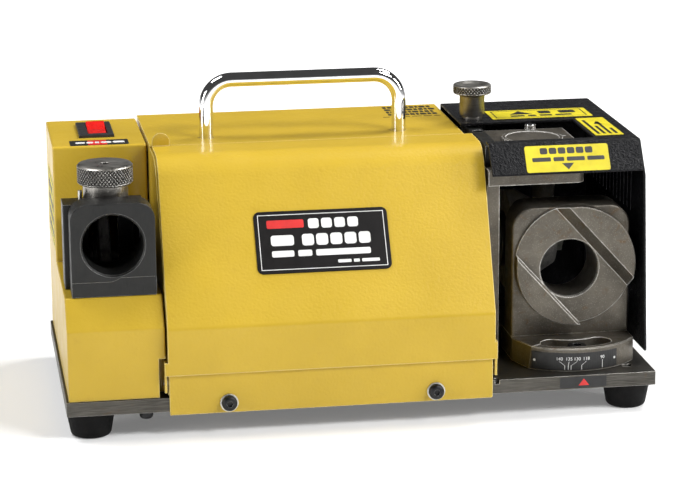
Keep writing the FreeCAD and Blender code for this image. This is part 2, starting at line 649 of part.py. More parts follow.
# ================================================================= motor and wheels
def motor():
    x0, x1 = 96.0, 258.0
    c = (x0, SHAFT_Y, SHAFT_Z)
    can = cyl(44.0, x1 - x0, c, X_AXIS)
    can = can.cut(cyl(40.0, x1 - x0 - 16, (x0 + 8, SHAFT_Y, SHAFT_Z), X_AXIS))
    can = can.fuse(cyl(18.0, 8.0, (x0 - 8, SHAFT_Y, SHAFT_Z), X_AXIS))
    can = can.fuse(cyl(18.0, 8.0, (x1, SHAFT_Y, SHAFT_Z), X_AXIS))
    can = can.cut(cyl(SHAFT_R + RUN, x1 - x0 + 40, (x0 - 20, SHAFT_Y, SHAFT_Z), X_AXIS))
    keep("motor_can", can)
    cradle = box(120, 234, SHAFT_Y - 40, SHAFT_Y + 40, 0, 40)
    cradle = cradle.cut(cyl(44.0, 200, (90, SHAFT_Y, SHAFT_Z), X_AXIS))
    cradle = cradle.cut(box(136, 218, SHAFT_Y - 48, SHAFT_Y + 48, 8, 60))
    keep("motor_cradle", cradle.removeSplitter())


def rotor():
    shaft = cyl(SHAFT_R, 338.0, (25.0, SHAFT_Y, SHAFT_Z), X_AXIS)
    core = cyl(30.0, 90.0, (132.0, SHAFT_Y, SHAFT_Z), X_AXIS)
    keep("rotor_shaft", shaft.fuse(core).removeSplitter())
    disc = cyl(LEFT_WHEEL_R, 8.0, (LEFT_BORE_X - 4.0, SHAFT_Y, SHAFT_Z), X_AXIS)
    disc = soften(disc, 2.5, lambda b: b.XLength < 0.01)
    keep("thinning_wheel", disc.cut(cyl(SHAFT_R, 20, (LEFT_BORE_X - 10, SHAFT_Y, SHAFT_Z), X_AXIS)))
    flange = cyl(15.0, 3.0, (LEFT_BORE_X - 7.0, SHAFT_Y, SHAFT_Z), X_AXIS)
    flange = flange.fuse(cyl(10.0, 2.3, (LEFT_BORE_X - 9.3, SHAFT_Y, SHAFT_Z), X_AXIS))
    keep("left_wheel_flange", flange.cut(cyl(SHAFT_R, 30, (10, SHAFT_Y, SHAFT_Z), X_AXIS)))
    slope = math.tan(math.radians(31.0))
    wheel = cyl(WHEEL_R, 9.0, (WHEEL_X, SHAFT_Y, SHAFT_Z), X_AXIS)
    wheel = wheel.fuse(cone(WHEEL_R, WHEEL_R - 26.0 * slope, 26.0, (WHEEL_X + 9.0, SHAFT_Y, SHAFT_Z), X_AXIS))
    keep("point_wheel", wheel.removeSplitter().cut(cyl(SHAFT_R, 60, (300, SHAFT_Y, SHAFT_Z), X_AXIS)))
    hub = cyl(20.0, 5.0, (WHEEL_X - 5.0, SHAFT_Y, SHAFT_Z), X_AXIS)
    keep("right_wheel_flange", hub.cut(cyl(SHAFT_R, 30, (300, SHAFT_Y, SHAFT_Z), X_AXIS)))
    hexa = [(SHAFT_Y + 11.0 * math.cos(a), SHAFT_Z + 11.0 * math.sin(a)) for a in hexagon()]
    nut = prism_x(hexa, WHEEL_X + 35.0, WHEEL_X + 41.5)
    keep("wheel_nut", nut.cut(cyl(SHAFT_R, 30, (WHEEL_X + 20.0, SHAFT_Y, SHAFT_Z), X_AXIS)))


# ================================================================= right station
def clamp_place():
    return PIVOT_X, PIVOT_Y - CLAMP_R


def swivel_base():
    z0 = GAP
    disc = cyl(SWIVEL_R, SWIVEL_H - GAP, (PIVOT_X, PIVOT_Y, z0), Z_AXIS)
    outline = [
        (PIVOT_X - 41.0, BLOCK_BACK_Y),
        (PIVOT_X - 41.0, PIVOT_Y - 18.0),
        (PIVOT_X - 27.0, 0.0),
        (PIVOT_X + 41.5, 0.0),
        (PIVOT_X + 41.5, BLOCK_BACK_Y),
    ]
    body = disc.fuse(box(PIVOT_X - 41.0, PIVOT_X + 41.5, 42.0, BLOCK_BACK_Y, z0, SWIVEL_H))
    body = body.common(prism_z(outline, z0, SWIVEL_H)).removeSplitter()
    body = soften(body, 0.8, lambda b: b.ZMin > SWIVEL_H - 0.01 and b.YMax < 43)
    # kidney slot for the clamp screw, with a wider shallow recess around it
    def kidney(r_mid, half, z_low, z_high, a0, a1):
        ring = cyl(r_mid + half, z_high - z_low, (PIVOT_X, PIVOT_Y, z_low), Z_AXIS)
        ring = ring.cut(cyl(r_mid - half, z_high - z_low, (PIVOT_X, PIVOT_Y, z_low), Z_AXIS))
        wedge_pts = [(PIVOT_X, PIVOT_Y)]
        for a in (a0, (a0 + a1) / 2.0, a1):
            wedge_pts.append((PIVOT_X + 90 * math.cos(math.radians(a)), PIVOT_Y + 90 * math.sin(math.radians(a))))
        band = ring.common(prism_z(wedge_pts, z_low, z_high))
        for a in (a0, a1):
            cx = PIVOT_X + r_mid * math.cos(math.radians(a))
            cy = PIVOT_Y + r_mid * math.sin(math.radians(a))
            band = band.fuse(cyl(half, z_high - z_low, (cx, cy, z_low), Z_AXIS))
        return band
    body = body.cut(kidney(CLAMP_R, 8.4, 7.0, SWIVEL_H + 1, -115.0, -65.0))
    body = body.cut(kidney(CLAMP_R, 4.4, -1.0, SWIVEL_H + 1, -104.0, -73.0))
    body = body.cut(cyl(6.05, 40, (PIVOT_X, PIVOT_Y, -5), Z_AXIS))
    keep("swivel_base", body.removeSplitter())


def pivot_pin():
    pin = cyl(6.0, SWIVEL_H + PLATE_T - 1.5, (PIVOT_X, PIVOT_Y, -PLATE_T + 0.5), Z_AXIS)
    keep("pivot_pin", pin)


def clamp_screw():
    x, y = clamp_place()
    head = cyl(6.5, 6.6, (x, y, 7.3 + 1.5), Z_AXIS)
    head = soften(head, 0.6, lambda b: b.ZMin > 15.3)
    head = head.fuse(cyl(7.6, 1.6, (x, y, 7.3), Z_AXIS))
    screw = head.fuse(cyl(4.0, 16.0, (x, y, -7.0), Z_AXIS))
    hexa = [(x + 3.4 * math.cos(a), y + 3.4 * math.sin(a)) for a in hexagon()]
    keep("clamp_screw", screw.cut(prism_z(hexa, 11.6, 18.0)).removeSplitter())


def swivel_block():
    x0, x1 = BLOCK_X - BLOCK_HALF, BLOCK_X + BLOCK_HALF
    body = box(x0, x1, BLOCK_FACE_Y, BLOCK_BACK_Y, SWIVEL_H, BLOCK_TOP_Z)
    body = soften(body, 15.0, lambda b: b.YLength > 20 and b.ZMin > BLOCK_TOP_Z - 0.1)
    body = soften(body, 1.5, lambda b: b.YMax < BLOCK_FACE_Y + 0.1 and b.ZMin > SWIVEL_H + 1)
    corner = [(x0 - 1, BLOCK_BACK_Y + 1), (x0 - 1, BLOCK_BACK_Y - 10.0), (x0 + 10.0, BLOCK_BACK_Y + 1)]
    body = body.cut(prism_z(corner, SWIVEL_H - 1, BLOCK_TOP_Z + 1))
    body = body.cut(cyl(RING_BORE_R, 60, (RING_BORE_X, 30, RING_BORE_Z), Y_AXIS))
    keep("swivel_block", body)


def across_slot(w, y):
    """Point of the slot's cross-section: w across the slot from the bore's centre, at depth y."""
    return V(RING_BORE_X - w * math.sin(SLOT_ANGLE), y, RING_BORE_Z + w * math.cos(SLOT_ANGLE))


def index_ring():
    disc = cyl(RING_R, BLOCK_FACE_Y - RING_FACE_Y, (RING_X, RING_FACE_Y, RING_Z), Y_AXIS)
    disc = soften(disc, 0.8, lambda b: b.YMax < RING_FACE_Y + 0.01 and b.XLength > 80)
    # slot across the face: one steep wall with a chamfer, one sloping wall
    section = [
        across_slot(-SLOT_LOW - SLOT_CHAMFER - 1.0, RING_FACE_Y - 1.0),
        across_slot(-SLOT_LOW - SLOT_CHAMFER, RING_FACE_Y),
        across_slot(-SLOT_LOW, RING_FACE_Y + SLOT_CHAMFER),
        across_slot(-SLOT_LOW, RING_FLOOR_Y),
        across_slot(SLOT_HIGH, RING_FLOOR_Y),
        across_slot(SLOT_HIGH_FACE, RING_FACE_Y),
        across_slot(SLOT_HIGH_FACE, RING_FACE_Y - 1.0),
    ]
    along = V(math.cos(SLOT_ANGLE), 0, math.sin(SLOT_ANGLE))
    face = Part.Face(Part.makePolygon(section + [section[0]]))
    face.translate(along * -60.0)
    disc = disc.cut(face.extrude(along * 120.0))
    disc = disc.cut(cyl(RING_BORE_R, 60, (RING_BORE_X, 20, RING_BORE_Z), Y_AXIS))
    mouth = cone(RING_BORE_R + 0.6, RING_BORE_R - 0.01, 0.61, (RING_BORE_X, RING_FLOOR_Y, RING_BORE_Z), Y_AXIS)
    keep("index_ring", disc.cut(mouth))


def upper_arm():
    """Bar under the hood with its column, and the tapered boss of the stop spindle."""
    x0 = HOOD_X0_FRONT
    bar = box(x0, 361.0, 47.0, 150.0, 123.0, 134.0)
    bar = soften(bar, 8.0, lambda b: b.ZLength > 9 and b.XMin > 360 and b.YMax < 60)
    column = box(x0, 301.6, 52.0, 66.0, 0.0, 123.5)
    rear_column = box(x0 + 0.2, 304.5, 160.0 - 34.0, 150.0, 92.0, 124.0)
    rear_column = rear_column.fuse(box(x0 + 0.2, 301.6, 158.0, 170.0, 0.0, 124.0))
    rear_column = rear_column.fuse(box(x0 + 0.2, 301.6, 148.0, 170.0, 92.0, 124.0))
    boss = cone(8.2, 9.5, 25.0, (BOSS_X, BOSS_Y, 99.0), Z_AXIS)
    pad = box(BRACKET_X1 + GAP, 361.0, 52.0, PAD_REAR_Y, 133.0, PAD_TOP_Z)
    arm = bar.fuse(column).fuse(rear_column).fuse(boss).fuse(pad)
    arm = arm.cut(cyl(5.0 + RUN, 40, (DIAL_X, DIAL_Y, 119.0), Z_AXIS))
    arm = arm.cut(cyl(6.0 + RUN, 24, (POST_X, POST_Y, 112), Z_AXIS))
    keep("upper_arm", arm.removeSplitter())


def post_bracket():
    """Rail on the upper arm, seen through the hood's opening; it steadies the knob post."""
    x0, z0 = HOOD_X0_FRONT + 0.4, 134.0
    rail = box(x0, BRACKET_X1, 60.0, 130.0, z0, BRACKET_TOP_Z)
    rail = soften(rail, 1.2, lambda b: b.ZMin > BRACKET_TOP_Z - 0.1)
    boss = cyl(9.6, BRACKET_TOP_Z + 2.0 - z0, (POST_X, POST_Y, z0), Z_AXIS)
    rail = rail.fuse(boss.common(box(x0, 330, 120, 160, 120, 160)))
    rail = rail.cut(cyl(6.0 + RUN, 40, (POST_X, POST_Y, 120), Z_AXIS))
    rail = rail.cut(cyl(7.7, 4, (POST_X, POST_Y, BRACKET_TOP_Z + 0.5), Z_AXIS))
    rail = rail.cut(cyl(3.6, 4.2, (298.4, 109.0, BRACKET_TOP_Z - 4.0), Z_AXIS))
    rail = rail.cut(cyl(2.05, 12, (298.4, 109.0, BRACKET_TOP_Z - 10.0), Z_AXIS))
    keep("post_bracket", rail.removeSplitter())
    screw = cyl(3.4, 2.6, (298.4, 109.0, BRACKET_TOP_Z - 4.0), Z_AXIS)
    screw = screw.fuse(cyl(2.0, 5.6, (298.4, 109.0, BRACKET_TOP_Z - 9.5), Z_AXIS))
    hexa = [(298.4 + 1.7 * math.cos(a), 109.0 + 1.7 * math.sin(a)) for a in hexagon()]
    keep("bracket_screw", screw.cut(prism_z(hexa, BRACKET_TOP_Z - 3.2, 150.0)).removeSplitter())


def depth_dial():
    z0 = PAD_TOP_Z + GAP
    disc = cyl(DIAL_R, 2.1, (DIAL_X, DIAL_Y, z0), Z_AXIS)
    disc = soften(disc, 0.4, lambda b: b.ZMin > z0 + 2.0)
    disc = disc.cut(cyl(18.6, 0.8, (DIAL_X, DIAL_Y, z0 + 1.7), Z_AXIS))
    disc = disc.fuse(cyl(5.0, 25.2, (DIAL_X, DIAL_Y, z0 - 25.0), Z_AXIS))
    for i in range(30):
        a = math.radians(12 * i)
        cut = cyl(0.7, 8, (DIAL_X + (DIAL_R + 0.4) * math.cos(a), DIAL_Y + (DIAL_R + 0.4) * math.sin(a), z0 - 2), Z_AXIS)
        disc = disc.cut(cut)
    keep("depth_dial", disc.removeSplitter())


def dial_stud():
    x, y = 336.8, 112.4
    stud = cyl(3.9, 4.7, (x, y, PAD_TOP_Z), Z_AXIS)
    stud = soften(stud, 0.4, lambda b: b.ZMin > PAD_TOP_Z + 4.6)
    for i in range(12):
        a = math.radians(30 * i)
        stud = stud.cut(cyl(0.6, 9, (x + 4.0 * math.cos(a), y + 4.0 * math.sin(a), PAD_TOP_Z + 0.8), Z_AXIS))
    keep("dial_stud", stud)


def right_knob():
    z = HOOD_TOP_Z
    post = cyl(7.5, 4.0, (POST_X, POST_Y, z - 2.0), Z_AXIS)
    post = post.fuse(cyl(8.85, 16.6, (POST_X, POST_Y, z + 2.0), Z_AXIS))
    grip = cyl(13.5, 6.4, (POST_X, POST_Y, z + 18.0), Z_AXIS)
    grip = grip.fuse(cone(9.0, 13.5, 1.8, (POST_X, POST_Y, z + 16.2), Z_AXIS))
    grip = soften(grip, 0.9, lambda b: b.ZMin > z + 24.3)
    grip = grip.cut(cone(7.5, 10.5, 1.6, (POST_X, POST_Y, z + 22.9), Z_AXIS))
    shank = cyl(6.0, 38.0, (POST_X, POST_Y, 113.0), Z_AXIS)
    keep("right_knob", post.fuse(grip).fuse(shank).removeSplitter())


# ================================================================= switch and rear inlet
def switch():
    z = LH_TOP_Z
    x0, x1, y0, y1 = 21.7, 46.0, 138.0, 182.0
    frame = box(x0, x1, y0, y1, z, z + 2.4)
    frame = soften(frame, 1.0, lambda b: b.ZMin > z + 2.3)
    body = frame.fuse(box(25.0, 44.4, 140.0, 180.0, z - 22.0, z + 0.1))
    well = box(28.1, 41.9, 141.8, 178.2, z - 14.0, z + 4.0)
    body = body.cut(well)
    body = body.cut(cyl(1.5 + RUN, 16.0, (27.0, 160.0, z - 2.6), X_AXIS))
    keep("switch_body", body.removeSplitter())
    rocker_outline = [
        (144.9, z + 1.5), (145.6, z - 5.5), (160.0, z - 8.0), (174.4, z - 5.5), (175.1, z + 4.2), (160.0, z + 1.6),
    ]
    rocker = prism_x(rocker_outline, 28.5, 41.5)
    rocker = rocker.common(cyl(17.8, 20, (26.0, 160.0, z - 2.6), X_AXIS))
    rocker = soften(rocker, 0.6, lambda b: b.XLength < 0.01 and b.ZMin > z + 1.0)
    rocker = rocker.fuse(cyl(1.5, 14.6, (27.7, 160.0, z - 2.6), X_AXIS).common(box(27.3, 42.3, 150, 170, z - 10, z)))
    keep("switch_rocker", rocker.removeSplitter())


def cable_gland():
    x, z = 100.0, 22.0
    ring = cyl(11.0, 3.5, (x, CS_REAR_Y, z), Y_AXIS)
    nose = cone(8.6, 7.0, GLAND_OUT - 3.4, (x, CS_REAR_Y + 3.4, z), Y_AXIS)
    body = ring.fuse(nose).fuse(cyl(7.9, 12.0, (x, CS_REAR_Y - 9.0, z), Y_AXIS))
    keep("cable_gland", body.cut(cyl(3.6, 40, (x, CS_REAR_Y - 12, z), Y_AXIS)).removeSplitter())


def under_plate_places():
    return [(53.0, 9.5), (53.0, 190.0), (178.0, 190.0), (280.0, 190.0)]


def under_screws():
    screws = []
    for x, y in under_plate_places():
        head = cyl(4.6, 6.4, (x, y, -PLATE_T - 6.4), Z_AXIS)
        head = soften(head, 2.4, lambda b: b.ZMax < -PLATE_T - 6.3)
        screws.append(head.fuse(cyl(2.4, PLATE_T - 0.4, (x, y, -PLATE_T - 0.1), Z_AXIS)))
    keep("under_screws", Part.makeCompound([s.Solids[0] for s in screws]))


def build():
    base_plate()
    feet()
    foot_screws()
    left_housing()
    centre_shell()
    lid()
    hinge_pins()
    apron()
    apron_fasteners()
    handle()
    nameplate()
    hood()
    hood_screws()
    left_block()
    left_column()
    left_knob()
    wheel_guard()
    motor()
    rotor()
    swivel_base()
    pivot_pin()
    clamp_screw()
    swivel_block()
    index_ring()
    upper_arm()
    post_bracket()
    depth_dial()
    dial_stud()
    right_knob()
    switch()
    cable_gland()
    under_screws()


build()
os.makedirs("parts", exist_ok=True)
for name, shape in PARTS.items():
    moved = shape.copy()
    moved.translate(MOVE)
    kind = "%d solid(s)" % len(moved.Solids)
    state = "valid" if moved.isValid() and all(s.isClosed() for s in moved.Solids) else "NOT VALID"
    print(name, kind, state, "volume %.1f cm3" % (moved.Volume / 1000.0))
    moved.exportStep("parts/%s.step" % name)
box_all = Part.makeCompound([s for s in PARTS.values()]).BoundBox
print("extent X %.2f..%.2f Y %.2f..%.2f Z %.2f..%.2f" % (
    box_all.XMin, box_all.XMax, box_all.YMin, box_all.YMax, box_all.ZMin, box_all.ZMax))
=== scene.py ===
"""Looks for the bench drill bit sharpener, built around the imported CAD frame.

Lengths are written in millimetres of the machine frame (origin: front left corner of the base
plate's top face, X right, Y back, Z up) and go through at() into the row frame in metres.
"""
import json
import math

import bmesh
import bpy
from mathutils import Matrix, Vector


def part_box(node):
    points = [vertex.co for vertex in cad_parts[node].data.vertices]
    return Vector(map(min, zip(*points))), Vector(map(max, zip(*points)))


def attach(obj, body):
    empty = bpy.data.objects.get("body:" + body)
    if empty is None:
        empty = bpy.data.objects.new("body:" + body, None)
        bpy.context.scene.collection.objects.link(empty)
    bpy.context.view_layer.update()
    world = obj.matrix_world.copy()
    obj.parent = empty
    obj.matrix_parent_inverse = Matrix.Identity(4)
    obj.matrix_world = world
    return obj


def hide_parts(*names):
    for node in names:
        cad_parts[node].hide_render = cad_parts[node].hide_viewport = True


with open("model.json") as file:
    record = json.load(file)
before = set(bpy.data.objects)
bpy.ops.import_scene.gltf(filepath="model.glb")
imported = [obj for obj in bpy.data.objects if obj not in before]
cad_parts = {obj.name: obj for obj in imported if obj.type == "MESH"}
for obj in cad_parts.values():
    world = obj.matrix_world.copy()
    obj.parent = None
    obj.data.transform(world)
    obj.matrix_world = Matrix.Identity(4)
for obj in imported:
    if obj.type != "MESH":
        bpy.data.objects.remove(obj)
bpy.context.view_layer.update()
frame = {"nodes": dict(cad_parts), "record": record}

plate_low, plate_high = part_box("base_plate")
floor_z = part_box("foot_front_left")[0].z
MM = 0.001

# ================================================================= driving sizes
LEFT_WALL = 1.6                # outer face of the left housing's side wall
LEFT_TOP = 148.2               # top of the left housing
CENTRE_TOP = 149.0             # top of the centre shell
HOOD_TOP = 152.4               # top of the hood
LIP_FOOT = (35.4, 133.6)       # lower edge of the hood's sloping front lip (Y, Z)
LIP_HEAD = (48.9, 152.4)       # upper edge of that lip (Y, Z)
LID_BEND = (0.0, -3.0, 47.5)   # where the lid's front starts to lean back
LID_RAKE = math.radians(33.0)  # how far it leans from the vertical
NAMEPLATE_FACE = 0.6           # the nameplate's face above the lid's
LEFT_KNOB = (33.0, 50.2)
RIGHT_KNOB = (300.0, 137.0)
DIAL = (331.0, 81.2, 146.6)    # centre of the dial on the arm's plate
PIVOT = (350.0, 60.0)          # the swivel base turns about this
SCALE_R = 51.8                 # radius of its round front

SUNK = 0.02                    # printed layers start this far inside what carries them
STICKER = 0.12                 # top of a sticker
INK = 0.17                     # top of the ink on a sticker
SHEET = (-SUNK, STICKER)
ON_SHEET = (STICKER - SUNK, INK)


def at(x, y, z):
    return Vector((plate_low.x + x * MM, plate_low.y + y * MM, plate_high.z + z * MM))


# ================================================================= material building blocks
class Look:
    """A node material with a Principled shader and short helpers."""

    def __init__(self, name, color, rough, metal=0.0, **sockets):
        self.mat = bpy.data.materials.new(name)
        self.mat.use_nodes = True
        self.tree = self.mat.node_tree
        self.bsdf = self.tree.nodes["Principled BSDF"]
        self.set("Base Color", (*color, 1.0))
        self.set("Roughness", rough)
        self.set("Metallic", metal)
        for key, value in sockets.items():
            self.set(key.replace("_", " "), value)
        self.coord = self.add("ShaderNodeTexCoord").outputs["Object"]
        self.mat.diffuse_color = (*color, 1.0)

    def set(self, socket, value):
        self.bsdf.inputs[socket].default_value = value

    def add(self, kind, **props):
        node = self.tree.nodes.new(kind)
        for key, value in props.items():
            setattr(node, key, value)
        return node

    def wire(self, source, target):
        self.tree.links.new(source, target)

    def into(self, node, key, value):
        if isinstance(value, bpy.types.NodeSocket):
            self.wire(value, node.inputs[key])
        else:
            node.inputs[key].default_value = value

    def stretched(self, sx, sy, sz):
        """Object coordinates scaled along each axis; a small scale draws a pattern out."""
        node = self.add("ShaderNodeMapping")
        self.wire(self.coord, node.inputs["Vector"])
        node.inputs["Scale"].default_value = (sx, sy, sz)
        return node.outputs["Vector"]

    def noise(self, grain_mm, detail=2.0, rough=0.5, vector=None, distortion=0.0):
        """Noise whose blobs are about grain_mm across."""
        node = self.add("ShaderNodeTexNoise")
        self.wire(vector or self.coord, node.inputs["Vector"])
        node.inputs["Scale"].default_value = 1.0 / (grain_mm * MM)
        node.inputs["Detail"].default_value = detail
        node.inputs["Roughness"].default_value = rough
        node.inputs["Distortion"].default_value = distortion
        return node.outputs["Fac"]

    def cells(self, size_mm):
        """Distance to the nearest point of a scatter with about this spacing."""
        node = self.add("ShaderNodeTexVoronoi", feature="F1")
        self.wire(self.coord, node.inputs["Vector"])
        node.inputs["Scale"].default_value = 1.0 / (size_mm * MM)
        return node.outputs["Distance"]

    def ramp(self, value, low, high, out_low=0.0, out_high=1.0):
        node = self.add("ShaderNodeMapRange", clamp=True)
        self.wire(value, node.inputs["Value"])
        numbers = (low, high, out_low, out_high)
        for key, number in zip(("From Min", "From Max", "To Min", "To Max"), numbers):
            node.inputs[key].default_value = number
        return node.outputs["Result"]

    def math(self, operation, a, b):
        node = self.add("ShaderNodeMath", operation=operation)
        self.into(node, 0, a)
        self.into(node, 1, b)
        return node.outputs["Value"]

    def blend(self, factor, a, b):
        node = self.add("ShaderNodeMix", data_type="RGBA", blend_type="MIX")
        self.into(node, 0, factor)
        for index, value in ((6, a), (7, b)):
            is_socket = isinstance(value, bpy.types.NodeSocket)
            self.into(node, index, value if is_socket else (*value, 1.0))
        return node.outputs[2]

    def color(self, output):
        self.wire(output, self.bsdf.inputs["Base Color"])

    def rough(self, output):
        self.wire(output, self.bsdf.inputs["Roughness"])

    def edges(self, radius_mm):
        """(mask that is 1 on sharp edges, normal with those edges rounded)."""
        bevel = self.add("ShaderNodeBevel", samples=6)
        bevel.inputs["Radius"].default_value = radius_mm * MM
        geometry = self.add("ShaderNodeNewGeometry")
        dot = self.add("ShaderNodeVectorMath", operation="DOT_PRODUCT")
        self.wire(bevel.outputs["Normal"], dot.inputs[0])
        self.wire(geometry.outputs["Normal"], dot.inputs[1])
        mask = self.ramp(dot.outputs["Value"], 0.995, 0.90)
        return mask, bevel.outputs["Normal"]

    def bump(self, height, depth_mm, normal=None):
        node = self.add("ShaderNodeBump")
        self.wire(height, node.inputs["Height"])
        node.inputs["Distance"].default_value = depth_mm * MM
        node.inputs["Strength"].default_value = 1.0
        if normal is not None:
            self.wire(normal, node.inputs["Normal"])
        return node.outputs["Normal"]

    def normal(self, output):
        self.wire(output, self.bsdf.inputs["Normal"])


# ================================================================= materials
def yellow_paint():
    """Powder coat with fine orange peel, faint grime and a painted highlight along its edges."""
    look = Look("yellow_powder_coat", (0.53, 0.365, 0.044), 0.42, Specular_IOR_Level=0.25,
                Coat_Weight=0.22, Coat_Roughness=0.12)
    deep, pale = (0.50, 0.335, 0.026), (0.55, 0.370, 0.032)
    grime_tone, edge_tone = (0.34, 0.19, 0.02), (0.95, 0.82, 0.38)
    edge_mask, round_normal = look.edges(0.9)
    cloud = look.ramp(look.noise(55, 3.0), 0.3, 0.7)
    base = look.blend(cloud, deep, pale)
    grime = look.ramp(look.noise(9, 5.0, 0.65), 0.60, 0.8, 0.0, 0.18)
    base = look.blend(grime, base, grime_tone)
    # painted highlight: sharp edges are lightened towards edge_tone, a pale yellow
    look.color(look.blend(look.math("MULTIPLY", edge_mask, 0.75), base, edge_tone))
    look.rough(look.ramp(look.noise(20, 3.0), 0.3, 0.7, 0.34, 0.46))
    peel = look.noise(1.9, 1.2, 0.4)
    fine = look.noise(0.5, 1.0)
    height = look.math("ADD", peel, look.math("MULTIPLY", fine, 0.15))
    look.normal(look.bump(height, 0.20, round_normal))
    return look.mat


def black_wrinkle():
    """Black wrinkle paint: distorted lumps and small pits, rubbed grey on some edges."""
    look = Look("black_wrinkle_paint", (0.006, 0.006, 0.007), 0.30, Specular_IOR_Level=0.14)
    deep, pale, rubbed = (0.004, 0.004, 0.005), (0.007, 0.007, 0.008), (0.04, 0.04, 0.04)
    edge_mask, round_normal = look.edges(0.5)
    tint = look.ramp(look.noise(30, 3.0), 0.3, 0.7)
    base = look.blend(tint, deep, pale)
    rub = look.math("MULTIPLY", edge_mask, look.ramp(look.noise(3, 4.0), 0.45, 0.65))
    look.color(look.blend(rub, base, rubbed))
    look.rough(look.ramp(look.noise(6, 3.0), 0.3, 0.7, 0.26, 0.42))
    lumps = look.ramp(look.noise(2.4, 2.5, 0.55, distortion=1.1), 0.34, 0.66)
    pits = look.ramp(look.cells(1.6), 0.0, 0.8)
    height = look.math("ADD", lumps, look.math("MULTIPLY", pits, 0.35))
    look.normal(look.bump(height, 0.30, round_normal))
    return look.mat


def machined(name, dark, light, edge, rough, grain, stretch, depth_mm, bevel_mm=0.45, metal=0.85):
    """Milled metal: cloudy colour, tool lines along one axis and brighter edges, partly wear and
    partly a painted highlight.
    """
    look = Look(name, light, rough, metal)
    line_tone = tuple(c * 1.35 for c in light)
    edge_mask, round_normal = look.edges(bevel_mm)
    cloud = look.ramp(look.noise(grain, 4.0, 0.6), 0.32, 0.68)
    base = look.blend(cloud, dark, light)
    lines = look.noise(0.5, 3.0, 0.6, look.stretched(*stretch))
    base = look.blend(look.ramp(lines, 0.35, 0.75, 0.0, 0.35), base, line_tone)
    patches = look.ramp(look.noise(2.5, 3.0), 0.25, 0.6, 0.35, 1.0)
    # edges lightened in patches: partly wear, partly a painted edge highlight
    look.color(look.blend(look.math("MULTIPLY", edge_mask, patches), base, edge))
    mixed = look.math("ADD", lines, cloud)
    look.rough(look.ramp(mixed, 0.6, 1.5, rough - 0.08, rough + 0.12))
    height = look.math("ADD", lines, look.math("MULTIPLY", look.noise(0.8, 2.0), 0.5))
    look.normal(look.bump(height, depth_mm, round_normal))
    return look.mat


def cast_iron():
    """Machined casting: clouds, brown stains, bright specks, and edges worn to pale metal,
    lightened further as a painted highlight.
    """
    look = Look("machined_casting", (0.12, 0.105, 0.085), 0.42, 0.7)
    deep, pale = (0.085, 0.076, 0.062), (0.150, 0.134, 0.108)
    stain_tone, speck_tone = (0.115, 0.062, 0.022), (0.36, 0.34, 0.30)
    edge_tone = (0.90, 0.88, 0.83)
    # a wide edge radius, so the slot chamfers also take the painted highlight
    edge_mask, round_normal = look.edges(1.1)
    cloud = look.ramp(look.noise(24, 5.0, 0.6), 0.3, 0.7)
    base = look.blend(cloud, deep, pale)
    stain = look.ramp(look.noise(13, 6.0, 0.7, distortion=1.5), 0.56, 0.74)
    base = look.blend(look.math("MULTIPLY", stain, 0.85), base, stain_tone)
    speck = look.ramp(look.cells(1.0), 0.10, 0.28, 1.0, 0.0)
    base = look.blend(look.math("MULTIPLY", speck, 0.55), base, speck_tone)
    # pale edge colour: partly wear, partly a painted highlight
    edge_wear_and_highlight = look.math("MULTIPLY", edge_mask, look.ramp(look.noise(3.0, 3.0), 0.25, 0.6, 0.4, 1.0))
    look.color(look.blend(edge_wear_and_highlight, base, edge_tone))
    # less metallic on the edges, so they read pale under the lamps: part of the painted highlight
    look.wire(look.ramp(edge_wear_and_highlight, 0.0, 1.0, 0.7, 0.1), look.bsdf.inputs["Metallic"])
    look.rough(look.ramp(look.noise(5, 4.0), 0.3, 0.7, 0.36, 0.54))
    look.normal(look.bump(look.noise(0.8, 3.0, 0.6), 0.05, round_normal))
    return look.mat


def ground_plate():
    """Dark ground steel with grinding lines along X and light rust."""
    look = Look("ground_steel", (0.15, 0.14, 0.12), 0.36, 0.85)
    deep, pale = (0.036, 0.034, 0.029), (0.085, 0.080, 0.069)
    rust_tone, line_tone, edge_tone = (0.085, 0.050, 0.024), (0.32, 0.30, 0.27), (0.62, 0.60, 0.56)
    edge_mask, round_normal = look.edges(0.5)
    cloud = look.ramp(look.noise(45, 5.0, 0.62), 0.3, 0.7)
    base = look.blend(cloud, deep, pale)
    rust = look.ramp(look.noise(18, 6.0, 0.72, distortion=2.0), 0.58, 0.76)
    base = look.blend(look.math("MULTIPLY", rust, 0.7), base, rust_tone)
    lines = look.noise(0.35, 2.0, 0.5, look.stretched(0.03, 1.0, 1.0))
    base = look.blend(look.ramp(lines, 0.4, 0.8, 0.0, 0.3), base, line_tone)
    look.color(look.blend(look.math("MULTIPLY", edge_mask, 0.8), base, edge_tone))
    look.rough(look.ramp(look.math("ADD", cloud, lines), 0.5, 1.5, 0.28, 0.46))
    look.normal(look.bump(lines, 0.012, round_normal))
    return look.mat


